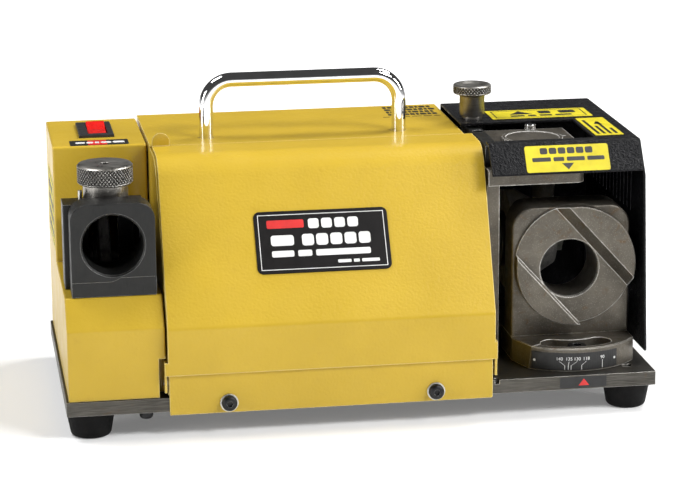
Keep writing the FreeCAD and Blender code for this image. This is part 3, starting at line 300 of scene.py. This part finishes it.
def turned_steel(name, dark, light, rough, knurled=False):
    """Lathe-turned metal with fine rings; a knurled one is darkened in its grooves, partly dirt
    and partly painted shade.
    """
    look = Look(name, light, rough, 0.9)
    ring_tone = tuple(min(1.0, c * 1.4) for c in light)
    groove_dirt_and_shade_tone, edge_tone = (0.012, 0.011, 0.010), (0.72, 0.70, 0.67)
    cloud = look.ramp(look.noise(7, 4.0, 0.6), 0.3, 0.7)
    rings = look.noise(0.45, 2.0, 0.5, look.stretched(0.05, 0.05, 1.0))
    base = look.blend(cloud, dark, light)
    base = look.blend(look.ramp(rings, 0.35, 0.75, 0.0, 0.4), base, ring_tone)
    edge_mask, round_normal = look.edges(0.35)
    if knurled:
        # knurl grooves darkened by their depth: dirt and painted shade
        depth = look.add("ShaderNodeAttribute", attribute_name="groove").outputs["Fac"]
        base = look.blend(look.ramp(depth, 0.15, 0.5, 0.0, 1.0), base, groove_dirt_and_shade_tone)
    look.color(look.blend(look.math("MULTIPLY", edge_mask, 0.6), base, edge_tone))
    mixed = look.math("ADD", rings, cloud)
    look.rough(look.ramp(mixed, 0.5, 1.5, rough - 0.08, rough + 0.1))
    look.normal(look.bump(rings, 0.02, round_normal))
    return look.mat


def chrome():
    """Polished chrome with faint smears and a slight waviness."""
    look = Look("polished_chrome", (0.86, 0.86, 0.87), 0.05, 1.0)
    bright, dull = (0.88, 0.88, 0.89), (0.80, 0.80, 0.80)
    look.rough(look.ramp(look.noise(14, 5.0, 0.7), 0.45, 0.75, 0.03, 0.11))
    look.color(look.blend(look.ramp(look.noise(8, 4.0), 0.4, 0.7), bright, dull))
    look.normal(look.bump(look.noise(5, 2.0), 0.006))
    return look.mat


def rubber():
    """Black rubber with a little dust."""
    look = Look("black_rubber", (0.005, 0.005, 0.005), 0.6, Specular_IOR_Level=0.1)
    clean, dusty = (0.005, 0.005, 0.005), (0.030, 0.028, 0.025)
    dust = look.ramp(look.noise(6, 5.0, 0.65), 0.5, 0.8, 0.0, 0.3)
    look.color(look.blend(dust, clean, dusty))
    look.rough(look.ramp(look.noise(3, 3.0), 0.3, 0.7, 0.5, 0.75))
    look.normal(look.bump(look.noise(0.5, 3.0, 0.6), 0.03))
    return look.mat


def plastic(name, color, rough, bump_mm=0.01, **sockets):
    """Plastic, ink or smooth paint, with a faint mottle."""
    look = Look(name, color, rough, **sockets)
    deep = tuple(c * 0.85 for c in color)
    pale = tuple(min(1.0, c * 1.12) for c in color)
    look.color(look.blend(look.ramp(look.noise(10, 4.0), 0.3, 0.7), deep, pale))
    blotches = look.noise(4, 3.0)
    look.rough(look.ramp(blotches, 0.3, 0.7, rough * 0.8, min(1.0, rough * 1.25)))
    _, round_normal = look.edges(0.3)
    look.normal(look.bump(look.noise(0.35, 2.0), bump_mm, round_normal))
    return look.mat


def red_lens():
    """Translucent red plastic of the switch."""
    look = Look("red_lens", (0.72, 0.012, 0.010), 0.14,
                Subsurface_Weight=0.25, Subsurface_Scale=0.002)
    deep, pale = (0.62, 0.010, 0.008), (0.80, 0.016, 0.012)
    look.color(look.blend(look.ramp(look.noise(5, 2.0), 0.3, 0.7), deep, pale))
    look.set("Subsurface Radius", (1.0, 0.1, 0.05))
    look.rough(look.ramp(look.noise(3, 3.0), 0.3, 0.7, 0.1, 0.2))
    _, round_normal = look.edges(0.4)
    look.normal(look.bump(look.noise(1.2, 1.0), 0.008, round_normal))
    return look.mat


def abrasive():
    """Bonded grit with darker loaded patches."""
    look = Look("bonded_abrasive", (0.36, 0.35, 0.33), 0.9)
    pale, deep, loaded = (0.74, 0.72, 0.68), (0.36, 0.35, 0.33), (0.11, 0.105, 0.10)
    grit = look.cells(0.45)
    glint = look.ramp(grit, 0.1, 0.5)
    load = look.ramp(look.noise(7, 4.0), 0.45, 0.7)
    base = look.blend(glint, pale, deep)
    look.color(look.blend(look.math("MULTIPLY", load, 0.5), base, loaded))
    look.rough(look.ramp(glint, 0.0, 1.0, 0.65, 0.95))
    look.normal(look.bump(grit, 0.12))
    return look.mat


MATERIALS = {
    "yellow_paint": yellow_paint(),
    "black_wrinkle": black_wrinkle(),
    "black_oxide": machined("black_oxide_steel", (0.014, 0.014, 0.0135), (0.027, 0.027, 0.026),
                            (0.42, 0.42, 0.41), 0.44, grain=16, stretch=(1.0, 0.06, 0.06),
                            depth_mm=0.012, metal=0.55),
    "cast": cast_iron(),
    "ground_steel": ground_plate(),
    "knurled_steel": turned_steel("knurled_steel", (0.20, 0.19, 0.17), (0.36, 0.345, 0.32),
                                  0.34, knurled=True),
    "zinc": turned_steel("zinc_plate", (0.38, 0.38, 0.36), (0.56, 0.56, 0.53), 0.3),
    "black_screw": machined("black_screw", (0.018, 0.018, 0.019), (0.035, 0.035, 0.036),
                            (0.30, 0.30, 0.30), 0.36, grain=4, stretch=(1.0, 1.0, 0.2),
                            depth_mm=0.01, bevel_mm=0.3),
    "chrome": chrome(),
    "rubber": rubber(),
    "motor_paint": plastic("motor_paint", (0.05, 0.05, 0.055), 0.5, 0.03),
    "abrasive": abrasive(),
    "black_plastic": plastic("black_plastic", (0.022, 0.022, 0.023), 0.38, 0.012),
    "red_lens": red_lens(),
    "plate_print": plastic("nameplate_black", (0.009, 0.008, 0.008), 0.42, 0.004,
                           Specular_IOR_Level=0.15),
}
LABEL_YELLOW = plastic("label_yellow", (0.62, 0.52, 0.018), 0.5, 0.004, Specular_IOR_Level=0.3)
INK_BLACK = plastic("label_ink_black", (0.012, 0.012, 0.012), 0.45, 0.003)
INK_WHITE = plastic("label_ink_white", (0.78, 0.78, 0.76), 0.4, 0.003)
INK_RED = plastic("label_ink_red", (0.60, 0.02, 0.018), 0.4, 0.003)

for row in frame["record"]["subparts"]:
    node = frame["nodes"][row["node"]]
    node.data.materials.clear()
    node.data.materials.append(MATERIALS[row["material_slot"]])


# ================================================================= mesh helpers
def finish_mesh(name, verts, faces, mats, indices, body, sharp_deg=35.0):
    mesh = bpy.data.meshes.new(name)
    mesh.from_pydata([tuple(v) for v in verts], [], faces)
    for mat in mats:
        mesh.materials.append(mat)
    if indices:
        mesh.polygons.foreach_set("material_index", indices)
    mesh.polygons.foreach_set("use_smooth", [True] * len(mesh.polygons))
    mesh.validate()
    mesh.set_sharp_from_angle(angle=math.radians(sharp_deg))
    piece = bpy.data.objects.new(name, mesh)
    bpy.context.scene.collection.objects.link(piece)
    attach(piece, body)
    return piece


def knurl_groove(tooth_turn, z, z_low, z_high, lead):
    """How deep, from 0 to 1, two crossing sets of grooves cut here. They fade at both ends."""
    fade_mm, flank = 0.5, 1.25
    rise = (z - z_low) / lead
    up = abs(((tooth_turn + rise) % 1.0) * 2.0 - 1.0)
    down = abs(((tooth_turn - rise) % 1.0) * 2.0 - 1.0)
    ends = min(1.0, (z - z_low) / fade_mm, (z_high - z) / fade_mm)
    return (1.0 - min(1.0, flank * min(up, down))) * max(0.0, ends)


def turned(name, profile, centre, body, knurl):
    """Knob turned about a vertical axis. profile is (radius, z) from the bottom centre to the top
    centre. knurl is (index of the knurled run of the profile, teeth round, depth, lead)."""
    run, teeth, depth, lead = knurl
    points_per_tooth, row_mm = 8, 0.16
    around = teeth * points_per_tooth
    rows = []
    for i in range(len(profile) - 1):
        (r0, z0), (r1, z1) = profile[i], profile[i + 1]
        parts = max(2, int(round(abs(z1 - z0) / row_mm))) if i == run else 1
        for k in range(parts):
            t = k / parts
            rows.append((r0 + (r1 - r0) * t, z0 + (z1 - z0) * t, i == run))
    rows.append((*profile[-1], False))
    z_low, z_high = profile[run][1], profile[run + 1][1]
    verts, groove = [], []
    for r, z, knurled in rows:
        for j in range(around):
            a = 2 * math.pi * j / around
            turn = teeth * a / (2 * math.pi)
            cut = knurl_groove(turn, z, z_low, z_high, lead) if knurled else 0.0
            rr = max(r - depth * cut, 0.0)
            groove.append(cut)
            verts.append(at(centre[0] + rr * math.cos(a), centre[1] + rr * math.sin(a), z))
    faces = []
    for i in range(len(rows) - 1):
        for j in range(around):
            k = (j + 1) % around
            low, high = i * around, (i + 1) * around
            faces.append((low + j, low + k, high + k, high + j))
    faces.append(tuple(reversed(range(around))))
    last = (len(rows) - 1) * around
    faces.append(tuple(range(last, last + around)))
    steel = MATERIALS["knurled_steel"]
    piece = finish_mesh(name, verts, faces, [steel], None, body, 50.0)
    attribute = piece.data.attributes.new("groove", "FLOAT", "POINT")
    attribute.data.foreach_set("value", groove)
    return piece


def rounded(u0, u1, v0, v1, corner):
    """Outline of a rectangle with rounded corners, anticlockwise."""
    if corner <= 0:
        return [(u0, v0), (u1, v0), (u1, v1), (u0, v1)]
    steps = 5
    centres = ((u0 + corner, v0 + corner), (u1 - corner, v0 + corner),
               (u1 - corner, v1 - corner), (u0 + corner, v1 - corner))
    points = []
    for quarter, (cu, cv) in enumerate(centres):
        for k in range(steps + 1):
            a = math.radians(180 + 90 * quarter + 90 * k / steps)
            points.append((cu + corner * math.cos(a), cv + corner * math.sin(a)))
    return points


class Print:
    """Thin printed matter: flat outlines laid on a surface given by a function (u, v, lift).
    Each shape takes the lifts of its underside and its face, and the index of its material."""

    def __init__(self, surface):
        self.surface = surface
        self.verts, self.faces, self.indices = [], [], []

    def prism(self, outline, low, high, index):
        """A closed thin prism with this (u, v) outline, anticlockwise."""
        start = len(self.verts)
        n = len(outline)
        for lift in (low, high):
            self.verts += [self.surface(u, v, lift) for u, v in outline]
        self.faces.append(tuple(start + n - 1 - i for i in range(n)))
        self.faces.append(tuple(start + n + i for i in range(n)))
        for i in range(n):
            j = (i + 1) % n
            self.faces.append((start + i, start + j, start + n + j, start + n + i))
        self.indices += [index] * (n + 2)

    def bar(self, u0, u1, v0, v1, low, high, index, corner=0.0):
        self.prism(rounded(u0, u1, v0, v1, corner), low, high, index)

    def frame(self, u0, u1, v0, v1, width, low, high, index):
        self.bar(u0, u1, v0, v0 + width, low, high, index)
        self.bar(u0, u1, v1 - width, v1, low, high, index)
        self.bar(u0, u0 + width, v0 + width, v1 - width, low, high, index)
        self.bar(u1 - width, u1, v0 + width, v1 - width, low, high, index)

    def words(self, u0, v0, height, lengths, gap, low, high, index):
        """A line of plain bars, one for each word of a printed line."""
        for length in lengths:
            corner = min(height, length) * 0.25
            self.bar(u0, u0 + length, v0, v0 + height, low, high, index, corner)
            u0 += length + gap

    def figure(self, text, size, u_mid, v_base, low, high, index):
        """Digits centred on u_mid, standing on v_base. The extrusion leaves its faces in no fixed
        order, so they are sorted."""
        curve = bpy.data.curves.new("figure", "FONT")
        curve.body = text
        curve.size = size
        curve.align_x = "CENTER"
        holder = bpy.data.objects.new("figure", curve)
        bpy.context.scene.collection.objects.link(holder)
        bpy.context.view_layer.update()
        mesh = bpy.data.meshes.new_from_object(holder)
        work = bmesh.new()
        work.from_mesh(mesh)
        flat = list(work.faces)
        for face in flat:
            if face.normal.z < 0:
                face.normal_flip()
        lifted = bmesh.ops.extrude_face_region(work, geom=flat)["geom"]
        lifted_verts = [g for g in lifted if isinstance(g, bmesh.types.BMVert)]
        bmesh.ops.translate(work, vec=(0, 0, 1), verts=lifted_verts)
        for face in flat:
            if face.is_valid:
                face.normal_flip()
        start = len(self.verts)
        work.verts.ensure_lookup_table()
        work.verts.index_update()
        for vert in work.verts:
            lift = high if vert.co.z > 0.5 else low
            self.verts.append(self.surface(u_mid + vert.co.x, v_base + vert.co.y, lift))
        outlines = []
        for face in work.faces:
            loop = [start + v.index for v in face.verts]
            first = loop.index(min(loop))
            outlines.append(tuple(loop[first:] + loop[:first]))
        self.faces += sorted(outlines)
        self.indices += [index] * len(outlines)
        work.free()
        bpy.data.objects.remove(holder)
        bpy.data.meshes.remove(mesh)
        bpy.data.curves.remove(curve)

    def piece(self, name, mats, body, slot):
        return finish_mesh(name, self.verts, self.faces, mats, self.indices, body)


def flat_surface(origin, along, up, out):
    """Surface function of a plane: origin and unit vectors in machine millimetres."""
    def surface(u, v, lift):
        return at(*(origin[i] + along[i] * u + up[i] * v + out[i] * lift for i in range(3)))
    return surface


def level_surface(x, y, z):
    """Surface function of a level face: u to the right, v to the back."""
    return flat_surface((x, y, z), (1, 0, 0), (0, 1, 0), (0, 0, 1))


# ================================================================= knobs with cut knurls
def left_knob_grip():
    profile = [
        (0.0, 119.8), (2.0, 119.8), (2.0, 125.3),               # stem in the column's hole
        (14.5, 125.3), (15.0, 125.8), (15.0, 136.4),            # neck
        (17.6, 136.5), (18.6, 137.5), (18.6, 148.4), (17.5, 149.5),  # knurled grip
        (3.7, 149.5), (3.2, 149.2), (3.2, 146.9), (0.0, 146.9),      # hole in the top
    ]
    piece = turned("left_knob_grip", profile, LEFT_KNOB, "left_knob", (7, 50, 0.75, 3.0))
    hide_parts("left_knob")


def right_knob_grip():
    profile = [
        (0.0, 113.0), (6.0, 113.0), (6.0, 150.4),               # stem in the arm
        (7.4, 150.4), (7.5, 154.4), (8.4, 154.4), (8.85, 154.9), (8.85, 168.4), (9.4, 168.9),
        (13.0, 170.3), (13.5, 170.9), (13.5, 175.9), (12.6, 176.8),  # knurled head
        (10.5, 176.8), (9.0, 175.7), (7.5, 175.3), (0.0, 175.3),     # dished top
    ]
    piece = turned("right_knob_grip", profile, RIGHT_KNOB, "right_knob", (10, 36, 0.65, 2.6))
    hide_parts("right_knob")


# ================================================================= printed matter
def nameplate_print():
    """White frame, and plain bars where the lines of print stand."""
    up = (0.0, math.sin(LID_RAKE), math.cos(LID_RAKE))
    out = (0.0, -math.cos(LID_RAKE), math.sin(LID_RAKE))
    plate = Print(flat_surface(LID_BEND, (1, 0, 0), up, out))
    layer = (NAMEPLATE_FACE - 0.02, NAMEPLATE_FACE + 0.05)
    white, red = 0, 1
    plate.frame(132.6, 218.0, 37.6, 76.6, 0.5, *layer, white)
    plate.bar(138.5, 163.5, 66.8, 72.6, *layer, red, 1.0)
    plate.words(166.5, 66.0, 7.0, (7.2,) * 4, 1.7, *layer, white)
    plate.words(140.5, 54.5, 7.4, (15.5,), 1.7, *layer, white)
    plate.words(161.5, 54.0, 8.2, (8.0,) * 5, 1.6, *layer, white)
    plate.words(140.5, 46.6, 4.4, (15.0, 9.5, 37.0), 2.6, *layer, white)
    plate.words(184.5, 41.0, 2.2, (9.0, 4.0, 12.0), 1.6, *layer, white)
    plate.piece("nameplate_print", [INK_WHITE, INK_RED], "lid", "plate_print")


def sticker_hood_rear():
    rear = Print(level_surface(0, 0, HOOD_TOP))
    yellow, black = 0, 1
    rear.bar(313.0, 386.0, 127.0, 156.0, *SHEET, yellow, 0.8)
    rear.frame(316.5, 382.5, 130.0, 153.0, 0.8, *ON_SHEET, black)
    rear.prism([(328.0, 140.0), (345.0, 140.0), (336.5, 151.0)], *ON_SHEET, black)
    rear.words(350.0, 141.0, 9.0, (9.0, 12.0), 6.0, *ON_SHEET, black)
    rear.words(328.0, 133.0, 4.5, (10.0, 6.0, 9.0, 12.0), 2.5, *ON_SHEET, black)
    rear.piece("sticker_hood_rear", [LABEL_YELLOW, INK_BLACK], "base", "yellow_paint")


def sticker_hood_side():
    """Its lines run from front to back."""
    side = Print(level_surface(0, 0, HOOD_TOP))
    yellow, black = 0, 1
    first_u, width, pitch, start_v = 373.5, 2.1, 4.2, 66.0
    side.bar(371.0, 391.0, 61.0, 120.0, *SHEET, yellow, 0.8)
    for row, end_v in enumerate((112.0, 92.0, 106.0, 84.0)):
        u = first_u + row * pitch
        side.bar(u, u + width, start_v, end_v, *ON_SHEET, black, 0.4)
    side.prism([(379.0, 98.0), (385.0, 98.0), (382.0, 106.0)], *ON_SHEET, black)
    side.piece("sticker_hood_side", [LABEL_YELLOW, INK_BLACK], "base", "yellow_paint")


def dial_marks():
    """Index marks on the arm's plate, behind the dial and to its right; each fourth is longer."""
    marks = Print(level_surface(*DIAL))
    inner, outer, outer_long, half_width = 24.0, 27.0, 28.5, 0.35
    for k in range(12):
        a = math.radians(22.0 + 7.0 * k)
        cos_a, sin_a = math.cos(a), math.sin(a)
        end = outer if k % 4 else outer_long
        tick = ((inner, -half_width), (end, -half_width), (end, half_width), (inner, half_width))
        outline = [(r * cos_a - w * sin_a, r * sin_a + w * cos_a) for r, w in tick]
        marks.prism(outline, -SUNK, 0.08, 0)
    marks.piece("dial_marks", [INK_WHITE], "base", "plate_print")


def sticker_hood_lip():
    run, rise = LIP_HEAD[0] - LIP_FOOT[0], LIP_HEAD[1] - LIP_FOOT[1]
    length = math.hypot(run, rise)
    up = (0.0, run / length, rise / length)
    out = (0.0, -up[2], up[1])
    lip = Print(flat_surface((0, *LIP_FOOT), (1, 0, 0), up, out))
    yellow, black = 0, 1
    lip.bar(317.0, 375.2, 0.4, 20.0, *SHEET, yellow, 1.6)
    lip.words(327.5, 13.6, 4.6, (5.2,) * 6, 1.1, *ON_SHEET, black)
    lip.words(321.5, 8.2, 3.0, (13.0, 7.5, 12.5, 12.0), 1.8, *ON_SHEET, black)
    lip.prism([(346.0, 1.8), (350.2, 6.6), (341.8, 6.6)], *ON_SHEET, black)
    lip.piece("sticker_hood_lip", [LABEL_YELLOW, INK_BLACK], "base", "yellow_paint")


def sticker_left_top():
    """Black strip with a red patch in the middle and white bars over both."""
    strip = Print(level_surface(0, 0, LEFT_TOP))
    black, white, red = 0, 1, 2
    red_top = INK - SUNK
    strip.bar(14.0, 54.4, 113.6, 130.0, *SHEET, black, 0.6)
    strip.bar(26.5, 39.5, 114.4, 129.2, STICKER - SUNK, red_top, red)
    strip.words(18.0, 119.5, 5.0, (6.5, 4.5, 3.0, 7.0, 8.0), 1.2, red_top - SUNK, INK, white)
    strip.piece("sticker_left_top", [INK_BLACK, INK_WHITE, INK_RED], "base", "plate_print")


def sticker_left_wall():
    """Label on the left side wall; u runs to the front."""
    wall = Print(flat_surface((LEFT_WALL, 0, 0), (0, -1, 0), (0, 0, 1), (-1, 0, 0)))
    yellow, black = 0, 1
    lines = ((9.0, 14.0, 7.0, 11.0), (12.0, 6.0, 16.0, 8.0), (7.0, 17.0, 9.0, 9.0),
             (15.0, 8.0, 12.0))
    wall.bar(-181.0, -119.0, 73.5, 122.0, *SHEET, yellow, 1.0)
    wall.frame(-179.0, -121.0, 75.5, 120.0, 1.2, *ON_SHEET, black)
    for row, lengths in enumerate(lines):
        wall.words(-175.0, 80.0 + 9.5 * row, 5.5, lengths, 2.6, *ON_SHEET, black)
    wall.piece("sticker_left_wall", [LABEL_YELLOW, INK_BLACK], "base", "yellow_paint")


def printed_notes():
    """Small notes at the rear of the centre top: one fine line and four rows of blocks."""
    notes = Print(level_surface(0, 0, CENTRE_TOP))
    layer = (-SUNK, 0.05)
    block_lengths = (3.4, 2.2, 4.6, 2.8)
    notes.words(241.0, 164.6, 1.6, (5.0, 5.5, 6.5, 7.0, 6.0, 5.0), 1.4, *layer, 0)
    for row in range(4):
        lengths = [block_lengths[(k + row) % 4] for k in range(9)]
        notes.words(246.0, 170.0 + 8.4 * row, 6.0, lengths, 0.8, *layer, 0)
    notes.piece("printed_notes", [INK_BLACK], "base", "plate_print")


def label_plate_arrow():
    """Arrow label on the front edge of the base plate."""
    edge = Print(flat_surface((0, 0, 0), (1, 0, 0), (0, 0, 1), (0, -1, 0)))
    black, red = 0, 1
    edge.bar(333.0, 365.4, -8.6, -0.9, *SHEET, black, 0.5)
    edge.prism([(345.9, -7.0), (353.3, -7.0), (349.6, -2.2)], *ON_SHEET, red)
    edge.piece("label_plate_arrow", [INK_BLACK, INK_RED], "base", "plate_print")


def swivel_surface(u, v, lift):
    """Round front of the swivel base: u is the arc to the right of straight ahead, v is height."""
    a = u / SCALE_R
    r = SCALE_R + lift
    return at(PIVOT[0] + r * math.sin(a), PIVOT[1] - r * math.cos(a), v)


def swivel_scale():
    """Angle scale: a bent sheet of narrow strips, leaning leaders with figures, and two rivets."""
    scale = Print(swivel_surface)
    black, white = 0, 1
    u_low, u_high, v_low, v_high, strips = -35.0, 27.5, 1.2, 13.4, 40
    for i in range(strips):
        u0 = u_low + (u_high - u_low) * i / strips
        u1 = u_low + (u_high - u_low) * (i + 1) / strips
        scale.bar(u0, u1, v_low, v_high, *SHEET, black)
    tick_foot, tick_head, leader_head, figure_foot, half = 1.6, 4.6, 7.4, 8.2, 0.17
    marks = ((-11.6, -15.3, "140"), (-9.2, -8.7, "135"), (-7.3, -3.1, "130"), (0.0, 3.2, "118"),
             (15.2, 15.2, "90"))
    for u_tick, u_figure, label in marks:
        scale.bar(u_tick - 0.2, u_tick + 0.2, tick_foot, tick_head, *ON_SHEET, white)
        leader = [(u_tick - half, tick_head), (u_tick + half, tick_head),
                  (u_figure + half, leader_head), (u_figure - half, leader_head)]
        scale.prism(leader, *ON_SHEET, white)
        scale.figure(label, 3.2, u_figure, figure_foot, *ON_SHEET, white)
    rivet_r, rivet_v, rivet_inset, rivet_top = 0.9, 7.3, 2.2, INK + 0.1
    for u_rivet in (u_low + rivet_inset, u_high - rivet_inset):
        turns = [math.radians(30 * k) for k in range(12)]
        ring = [(u_rivet + rivet_r * math.cos(a), rivet_v + rivet_r * math.sin(a)) for a in turns]
        scale.prism(ring, STICKER - SUNK, rivet_top, white)
    scale.piece("swivel_scale", [INK_BLACK, INK_WHITE], "swivel", "plate_print")


# ================================================================= floor, lights, camera
NEAR_GLOW = 0.16        # glow of the floor round the machine
FAR_GLOW = 0.75         # and of the floor far away
NEAR_M, FAR_M = 0.35, 1.3
HORIZON = 0.50          # brightness of the studio's walls
ZENITH = 0.06           # and of its ceiling
CEILING_FROM = 0.14     # sine of the height angle where the ceiling is reached
LAMPS = (               # name, place and size in metres, power in watts
    ("key", (1.1, -1.1, 1.5), (0.7, 0.6), 29.0),
    ("left", (-1.6, -0.6, 0.5), (0.5, 0.8), 9.0),
    ("right", (1.5, -0.7, 0.7), (0.3, 0.7), 9.0),
    ("top left", (-0.95, 0.2, 1.8), (0.6, 0.8), 22.0),
    ("top right", (1.0, 0.5, 1.8), (0.6, 0.8), 24.0),
)
LAMP_TARGET = (0.0, 0.0, 0.08)
LENS_MM, SENSOR_MM = 133.77, 36.0
CAMERA_PLACE = (-78.6, -1637.7, 528.0)
CAMERA_AZIMUTH, CAMERA_HEIGHT, CAMERA_ROLL = -9.29, 14.61, -0.32    # degrees


def plain_floor():
    """Pale floor; its faint glow keeps the ground white under soft light."""
    half = 4.0
    corners = [(-half, -half), (half, -half), (half, half), (-half, half)]
    mesh = bpy.data.meshes.new("floor")
    mesh.from_pydata([(x, y, floor_z) for x, y in corners], [], [(0, 1, 2, 3)])
    look = Look("pale_floor", (0.86, 0.86, 0.86), 0.6, Specular_IOR_Level=0.2)
    look.set("Emission Color", (1.0, 1.0, 1.0, 1.0))
    away = look.add("ShaderNodeVectorMath", operation="LENGTH")
    look.wire(look.coord, away.inputs[0])
    glow = look.ramp(away.outputs["Value"], NEAR_M, FAR_M, NEAR_GLOW, FAR_GLOW)
    look.wire(glow, look.bsdf.inputs["Emission Strength"])
    mesh.materials.append(look.mat)
    floor = bpy.data.objects.new("floor", mesh)
    bpy.context.scene.collection.objects.link(floor)


def area_light(name, place, size, power):
    data = bpy.data.lights.new(name, "AREA")
    data.shape = "RECTANGLE"
    data.size, data.size_y = size
    data.energy = power
    light = bpy.data.objects.new(name, data)
    light.location = place
    aim = Vector(LAMP_TARGET) - Vector(place)
    light.rotation_euler = aim.to_track_quat("-Z", "Y").to_euler()
    bpy.context.scene.collection.objects.link(light)


def studio():
    """White walls that fade to a dark ceiling, and the soft lamps."""
    world = bpy.data.worlds.new("studio")
    bpy.context.scene.world = world
    world.use_nodes = True
    tree = world.node_tree
    direction = tree.nodes.new("ShaderNodeTexCoord").outputs["Generated"]
    split = tree.nodes.new("ShaderNodeSeparateXYZ")
    fade = tree.nodes.new("ShaderNodeMapRange")
    tree.links.new(direction, split.inputs[0])
    tree.links.new(split.outputs["Z"], fade.inputs["Value"])
    numbers = (0.0, CEILING_FROM, HORIZON, ZENITH)
    for key, number in zip(("From Min", "From Max", "To Min", "To Max"), numbers):
        fade.inputs[key].default_value = number
    background = tree.nodes["Background"]
    background.inputs["Color"].default_value = (1.0, 1.0, 1.0, 1.0)
    tree.links.new(fade.outputs["Result"], background.inputs["Strength"])
    for lamp in LAMPS:
        area_light(*lamp)


def camera():
    data = bpy.data.cameras.new("camera")
    data.lens = LENS_MM
    data.sensor_width = SENSOR_MM
    data.clip_start, data.clip_end = 0.05, 50.0
    cam = bpy.data.objects.new("camera", data)
    heading = Matrix.Rotation(math.radians(CAMERA_AZIMUTH), 4, "Z")
    tilt = Matrix.Rotation(math.radians(90.0 - CAMERA_HEIGHT), 4, "X")
    roll = Matrix.Rotation(math.radians(CAMERA_ROLL), 4, "Z")
    cam.matrix_world = Matrix.Translation(at(*CAMERA_PLACE)) @ heading @ tilt @ roll
    bpy.context.scene.collection.objects.link(cam)
    bpy.context.scene.camera = cam


left_knob_grip()
right_knob_grip()
nameplate_print()
sticker_hood_rear()
sticker_hood_side()
dial_marks()
sticker_hood_lip()
sticker_left_top()
sticker_left_wall()
printed_notes()
label_plate_arrow()
swivel_scale()
plain_floor()
studio()
camera()
bpy.context.scene.view_settings.view_transform = "Standard"
